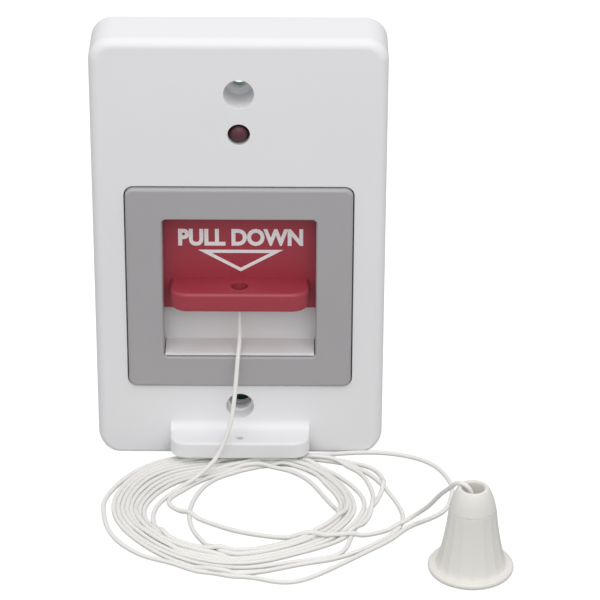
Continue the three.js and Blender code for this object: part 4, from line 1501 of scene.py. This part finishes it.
    def inside(self, line: np.ndarray, free: np.ndarray) -> np.ndarray:
        """Keeps the loose turns above the floor, in front of the plate and under the ledge.

        Args:
            line: The cord's middle line, which is changed.
            free: Which points are loose.

        Returns:
            The same line.
        """
        radius = self.diameter / 2
        line[:, 2] = np.where(free, np.maximum(line[:, 2], radius), line[:, 2])
        wide = np.abs(line[:, 0]) < self.plate_half
        line[:, 1] = np.where(free & wide, np.minimum(line[:, 1], FRONT - radius - self.plate_gap), line[:, 1])
        under = free & (np.abs(line[:, 0]) < self.ledge_half) & (line[:, 1] > self.ledge_nose - radius)
        line[:, 2] = np.where(under, np.minimum(line[:, 2], self.ledge_z - radius), line[:, 2])
        return line

    def build(self, finish: bpy.types.Material) -> bpy.types.Object:
        """Makes the cord along its laid line, from the shelf to the bell.

        Args:
            finish: The braid's material.

        Returns:
            The cord's piece.
        """
        line = self.laid()
        obj = tube("pull_cord", line, self.diameter / 2, self.sides, self.pitch)
        obj.data.materials.append(finish)
        run = float(np.linalg.norm(np.diff(line, axis=0), axis=1).sum()) * MM
        LOG.info("pull_cord: %.3f m of cord", run)
        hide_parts("cord_drop", "cord_coil", "cord_loop", "cord_tail")
        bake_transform(obj)
        self.path = [tuple(float(c) * MM for c in p) for p in line]
        return obj

    def declare(self, obj: bpy.types.Object, knots: Sequence[bpy.types.Object]) -> None:
        """Args:
            obj: The cord's piece; not used.
            knots: Its knots and the bell; not used.
        """


def tube(name: str, line: np.ndarray, radius: float, sides: int, pitch: float) -> bpy.types.Object:
    """Makes a closed round tube along a line, with a UV map for its braid.

    Args:
        name: The object's name.
        line: The middle line in millimetres.
        radius: The tube's radius in millimetres.
        sides: Sides of its section.
        pitch: Length of one braid pitch in millimetres.

    Returns:
        The tube, in metres.
    """
    tangent = np.gradient(line, axis=0)
    tangent /= np.linalg.norm(tangent, axis=1)[:, None]
    across = np.cross(tangent[0], (0.3, 0.9, 0.2))
    frames = []
    for t in tangent:
        across = across - t * across.dot(t)
        across /= np.linalg.norm(across)
        frames.append((across.copy(), np.cross(t, across)))
    angles = [2 * math.pi * k / sides for k in range(sides)]
    verts = []
    for p, (a, b) in zip(line, frames):
        verts += [tuple((p + radius * (math.cos(w) * a + math.sin(w) * b)) * MM) for w in angles]
    faces, uvs = [], []
    run = np.concatenate([[0], np.cumsum(np.linalg.norm(np.diff(line, axis=0), axis=1))]) / pitch
    for i in range(len(line) - 1):
        for k in range(sides):
            n = (k + 1) % sides
            faces.append((i * sides + k, i * sides + n, (i + 1) * sides + n, (i + 1) * sides + k))
            uvs += [(run[i + on], (k + by) / sides) for on, by in ((0, 0), (0, 1), (1, 1), (1, 0))]
    for cap in (range(sides - 1, -1, -1), range((len(line) - 1) * sides, len(line) * sides)):
        faces.append(tuple(cap))
        uvs += [(0.0, 0.0)] * sides
    data = bpy.data.meshes.new(name)
    data.from_pydata(verts, [], faces)
    layer = data.uv_layers.new(name="braid")
    layer.data.foreach_set("uv", [c for uv in uvs for c in uv])
    data.polygons.foreach_set("use_smooth", [True] * (len(faces) - 2) + [False, False])
    return new_object(name, data)


@dataclass
class StopKnot:
    """A tight overhand knot that stops the cord."""

    place: tuple[float, float, float]
    across: float
    height: float
    radius: float = 0.5
    steps: int = 84

    def build(self, name: str) -> bpy.types.Object:
        """Makes the knot as a trefoil, which is what a drawn-up overhand knot is.

        Args:
            name: The piece's name.

        Returns:
            The knot.
        """
        reach, rise = (self.across / 2 - self.radius) / 3, self.height / 2 - self.radius
        line = []
        for k in range(self.steps + 1):
            t = 2 * math.pi * k / self.steps
            x, y, z = math.sin(t) + 2 * math.sin(2 * t), math.cos(t) - 2 * math.cos(2 * t), -math.sin(3 * t)
            line.append((self.place[0] + x * reach, self.place[1] + y * reach, self.place[2] + z * rise))
        return tube(name, np.array(line), self.radius, 12, 1.5)


@dataclass
class Fasteners:
    """Screws and solder joints on the rear, repeated by Geometry Nodes."""

    head: float = 2.3
    head_height: float = 1.5
    shank: float = 1.2
    length: float = 4.2
    root: float = 0.92
    thread_pitch: float = 0.5
    threads: int = 7
    pole_gap: float = 5.08

    def screw(self) -> bpy.types.Object:
        """Makes one pan-head screw with a cross recess.

        Returns:
            The screw, its seat at the origin and its head towards +Y.
        """
        profile = [(0, -self.length), (0.5, -self.length), (0.8, -self.length + 0.5)]
        for k in range(self.threads):
            z = -self.length + 0.6 + k * self.thread_pitch
            profile += [(self.root, z), (self.shank, z + 0.22)]
        profile += [(0.95, -0.15), (0.95, 0), (self.head - 0.12, 0), (self.head, 0.12), (self.head, 0.5),
                    (self.head * 0.93, 0.9), (self.head * 0.78, 1.22), (self.head * 0.5, 1.42), (0, self.head_height)]
        screw = turned("screw", profile, 32, angle=40)
        cutter = Skin()
        corners = ((-1, -1), (1, -1), (1, 1), (-1, 1))
        for half_x, half_y, draw_x, draw_y, floor in ((1.25, 0.26, 0.55, 1, 0.55), (0.26, 1.25, 1, 0.55, 0.5)):
            low = cutter.ring([(sx * half_x * draw_x, sy * half_y * draw_y, floor) for sx, sy in corners])
            top = cutter.ring([(sx * half_x, sy * half_y, 2.0) for sx, sy in corners])
            cutter.bridge(low, top)
            cutter.fill(low)
            cutter.fill(top)
        self.cut(screw, cutter.finish("recess", SHADING_ANGLE))
        return placed(screw, Matrix.Rotation(-math.pi / 2, 4, "X"))

    @staticmethod
    def cut(obj: bpy.types.Object, tool: bpy.types.Object) -> None:
        """Cuts one mesh with another.

        Args:
            obj: The mesh that stays.
            tool: The mesh that cuts and goes.
        """
        boolean = obj.modifiers.new("cut", "BOOLEAN")
        boolean.operation = "DIFFERENCE"
        boolean.solver = "EXACT"
        boolean.use_self = True
        boolean.object = tool
        applied(obj)
        bpy.data.objects.remove(tool)

    def rear_screws(self, finish: bpy.types.Material) -> bpy.types.Object:
        """Places the eight rear screws.

        Args:
            finish: Their finish.

        Returns:
            All eight as one piece.
        """
        tray, board = FRONT + 9.3, FRONT + 12.8
        places = [(-19.5, tray, 12.6), (19.5, tray, 12.6), (-8.5, tray, 79.6), (8.5, tray, 79.6)]
        places += [(-26.5, board, 8.0), (26.5, board, 8.0), (-26.5, board, 101.5), (26.5, board, 101.5)]
        return scattered("rear_screws", self.screw(), places, [12, 47, 75, 33, 8, 61, 22, 80], finish)

    def solder_joints(self, finish: bpy.types.Material) -> bpy.types.Object:
        """Places a small cone of solder on every lead behind the board.

        Args:
            finish: Their finish.

        Returns:
            All joints as one piece.
        """
        joint = turned("joint", [(0, -0.02), (0.85, -0.02), (0.85, 0.05), (0.6, 0.22), (0.42, 0.55), (0.34, 0.95),
                                 (0.2, 1.12), (0, 1.16)], 20, angle=60)
        placed(joint, Matrix.Rotation(-math.pi / 2, 4, "X"))
        back = FRONT + 12.5
        spots = [(side * 1.27, 86.6) for side in (-1, 1)]
        spots += [(20.85, z) for z in (78.62, 83.7, 88.78)]
        for x, z, reach in ((-15, 105, 4.5), (15, 105, 4.5), (-19, 82, 4.0), (-18.5, 89, 1.3)):
            spots += [(x - reach, z), (x + reach, z)]
        spots += [(x, 49.5) for x in (-self.pole_gap, 0, self.pole_gap)]
        return scattered("solder_joints", joint, [(x, back, z) for x, z in spots], [0] * len(spots), finish)

    def terminal_screws(self, finish: bpy.types.Material) -> bpy.types.Object:
        """Places the three slotted clamp screws of the terminal block.

        Args:
            finish: Their finish.

        Returns:
            All three as one piece.
        """
        profile = [(0, -2.6), (1.38, -2.6), (1.5, -2.45), (1.5, -0.15), (1.36, 0), (0, 0)]
        screw = turned("clamp", profile, 32, angle=40)
        tool = Skin()
        tool.prism([(-2, -0.32, -0.75), (2, -0.32, -0.75), (2, 0.32, -0.75), (-2, 0.32, -0.75)], (0, 0, 2))
        self.cut(screw, tool.finish("slot", SHADING_ANGLE))
        placed(screw, Matrix.Rotation(-math.pi / 2, 4, "X"))
        far = FRONT + 12.8 + 10 - 1.3
        places = [(x, far, 38.6) for x in (-self.pole_gap, 0, self.pole_gap)]
        return scattered("terminal_screws", screw, places, [20, 65, 140], finish)


@dataclass
class Studio:
    """The camera at the photograph's angle, soft light and a pale floor."""

    place: Point = (12.506, -656.793, 386.393)
    right: Point = (0.99998857, -0.00072842, 0.00472511)
    up: Point = (-0.00383625, 0.4675564, 0.88395492)
    forward: Point = (0.00285315, 0.88396294, -0.46754826)
    lens: float = 182.55
    sensor: float = 36.0
    ambient: float = 0.72
    lamp_place_m: Point = (0.03, -0.33, 0.5)
    lamp_target_m: Point = (0.01, -0.01, 0.06)
    lamp_size_m: float = 0.55
    lamp_power: float = 1.45
    floor_colour: str = "A8A8A8"
    floor_glow: float = 0.80
    floor_half_m: float = 4.0

    def camera(self) -> None:
        """Makes the camera, fitted to the photograph, and makes it the scene's own."""
        data = bpy.data.cameras.new("camera")
        data.lens, data.sensor_width = self.lens, self.sensor
        data.clip_start, data.clip_end = 0.01, 20
        camera = new_object("camera", data)
        turn = Matrix((self.right, self.up, tuple(-c for c in self.forward))).transposed().to_4x4()
        camera.matrix_world = Matrix.Translation([c * MM for c in self.place]) @ turn
        bpy.context.scene.camera = camera

    def lamp(self) -> None:
        """Makes one square soft lamp that faces the alarm from above and in front."""
        data = bpy.data.lights.new("overhead lamp", "AREA")
        data.shape, data.size, data.energy = "SQUARE", self.lamp_size_m, self.lamp_power
        lamp = new_object("overhead lamp", data)
        lamp.location = self.lamp_place_m
        aim = Vector(self.lamp_target_m) - Vector(self.lamp_place_m)
        lamp.rotation_euler = aim.to_track_quat("-Z", "Y").to_euler()

    def world(self) -> None:
        """Lights the object evenly and shows a white background to the camera."""
        world = bpy.data.worlds.new("studio")
        world.use_nodes = True
        tree = world.node_tree
        tree.nodes.clear()
        path = add_node(tree, "ShaderNodeLightPath")
        strength = add_node(tree, "ShaderNodeMapRange", {"in:To Min": self.ambient, "in:To Max": 1.0},
                            {"Value": path.outputs["Is Camera Ray"]})
        back = add_node(tree, "ShaderNodeBackground", {"in:Color": (1, 1, 1, 1)}, {"Strength": strength.outputs[0]})
        output = tree.nodes.new("ShaderNodeOutputWorld")
        tree.links.new(back.outputs[0], output.inputs["Surface"])
        bpy.context.scene.world = world

    def floor(self) -> None:
        """Makes the pale floor. A little light of its own lifts it to white where no shadow falls."""
        data = bpy.data.meshes.new("floor")
        half = self.floor_half_m
        data.from_pydata([(-half, -half, 0), (half, -half, 0), (half, half, 0), (-half, half, 0)], [],
                         [(0, 1, 2, 3)])
        floor = new_object("floor", data)
        material, tree = new_material("pale matt floor")
        path = add_node(tree, "ShaderNodeLightPath")
        glow = add_node(tree, "ShaderNodeMath", {"operation": "MULTIPLY", 1: self.floor_glow},
                        {0: path.outputs["Is Camera Ray"]})
        shader = add_node(tree, "ShaderNodeBsdfPrincipled",
                          {"in:Base Color": linear(self.floor_colour), "in:Roughness": 0.9,
                           "in:Specular IOR Level": 0.1, "in:Emission Color": (1, 1, 1, 1)},
                          {"Emission Strength": glow.outputs[0]})
        close_material(tree, shader.outputs[0])
        data.materials.append(material)

    def build(self) -> None:
        """Makes the background, the floor and the lamp."""
        self.world()
        self.floor()
        self.lamp()


@dataclass
class Alarm:
    """The whole alarm, piece by piece."""

    finishes: Finishes
    nodes: dict[str, bpy.types.Object]

    def build_cord(self) -> None:
        """Makes the cord, its two knots and the bell at its end."""
        cord, bell = PullCord(), PullBell()
        piece = cord.build(self.finishes.cord)
        shelf = StopKnot((0, FRONT + 1, 43.35), 3.3, 1.7).build("shelf_knot")
        end = StopKnot((bell.x, bell.y, 12.2), 3.5, 1.7).build("end_knot")
        dress(shelf, self.finishes.cord, Body.SLIDER, Slot.CORD, "cord_knot")
        dress(end, self.finishes.cord, Body.HOUSING, Slot.CORD, "bell_knot")
        moulding = dress(bell.build(), self.finishes.bell, Body.HOUSING, Slot.WHITE, "pull_bell")
        cord.declare(piece, [shelf, end, moulding])

    def build_front(self) -> None:
        """Makes what shows from the front."""
        f = self.finishes
        dress(Faceplate().build(), f.plate, Body.HOUSING, Slot.WHITE, "faceplate")
        dress(BezelFrame().build(), f.frame, Body.HOUSING, Slot.GREY, "bezel_frame")
        dress(PullSlider().build(), f.slider, Body.SLIDER, Slot.RED, "pull_slider")
        dress(Legend().build(), f.ink, Body.SLIDER, Slot.WHITE)
        tray = softened(self.nodes["slide_tray"], "tray_moulding", 0.18)
        dress(tray, f.tray, Body.HOUSING, Slot.WHITE, "slide_tray")
        dress(IndicatorLamp().build(), f.lens, Body.HOUSING, Slot.LAMP, "indicator_lamp")

    def build_rear(self) -> None:
        """Makes what shows from behind."""
        f = self.finishes
        parts = Fasteners()
        tray = [f"tray_screw_{k}" for k in range(1, 5)]
        board = [f"board_screw_{k}" for k in range(1, 5)]
        clamps = [f"terminal_screw_{k}" for k in range(1, 4)]
        dress(parts.rear_screws(f.steel), f.steel, Body.HOUSING, Slot.STEEL, *tray, *board)
        dress(parts.terminal_screws(f.steel), f.steel, Body.HOUSING, Slot.STEEL, *clamps)
        dress(parts.solder_joints(f.solder), f.solder, Body.HOUSING, Slot.STEEL)
        block = softened(self.nodes["terminal_block"], "terminal_housing", 0.2)
        dress(block, f.block, Body.HOUSING, Slot.BLOCK, "terminal_block")
        switch = softened(self.nodes["switch_body"], "switch_housing", 0.15)
        dress(switch, f.black, Body.HOUSING, Slot.BLACK, "switch_body")

    def repaint_nodes(self) -> None:
        """Gives the CAD nodes that stay their finishes."""
        f = self.finishes
        paint = {f.steel: ["friction_spring_left", "friction_spring_right", "lamp_lead_left", "lamp_lead_right",
                           "switch_pin_1", "switch_pin_2", "switch_pin_3"],
                 f.board: ["circuit_board"], f.tray: ["lamp_spacer"], f.slider: ["switch_button"],
                 f.lacquer: ["resistor_1", "resistor_2"], f.black: ["diode", "capacitor"]}
        for material, names in paint.items():
            for name in names:
                node = self.nodes[name]
                node.data.materials.clear()
                node.data.materials.append(material)
                LOG.info("%s: painted %s", name, material.name)


def main() -> None:
    """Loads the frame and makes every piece."""
    logging.basicConfig(level=logging.INFO, format="%(name)s: %(message)s")
    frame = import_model()
    bpy.context.scene.view_settings.view_transform = "Standard"
    studio = Studio()
    studio.camera()
    alarm = Alarm(Finishes(), frame["nodes"])
    alarm.build_cord()
    studio.build()
    alarm.build_front()
    alarm.build_rear()
    alarm.repaint_nodes()


if __name__ == "__main__":
    main()
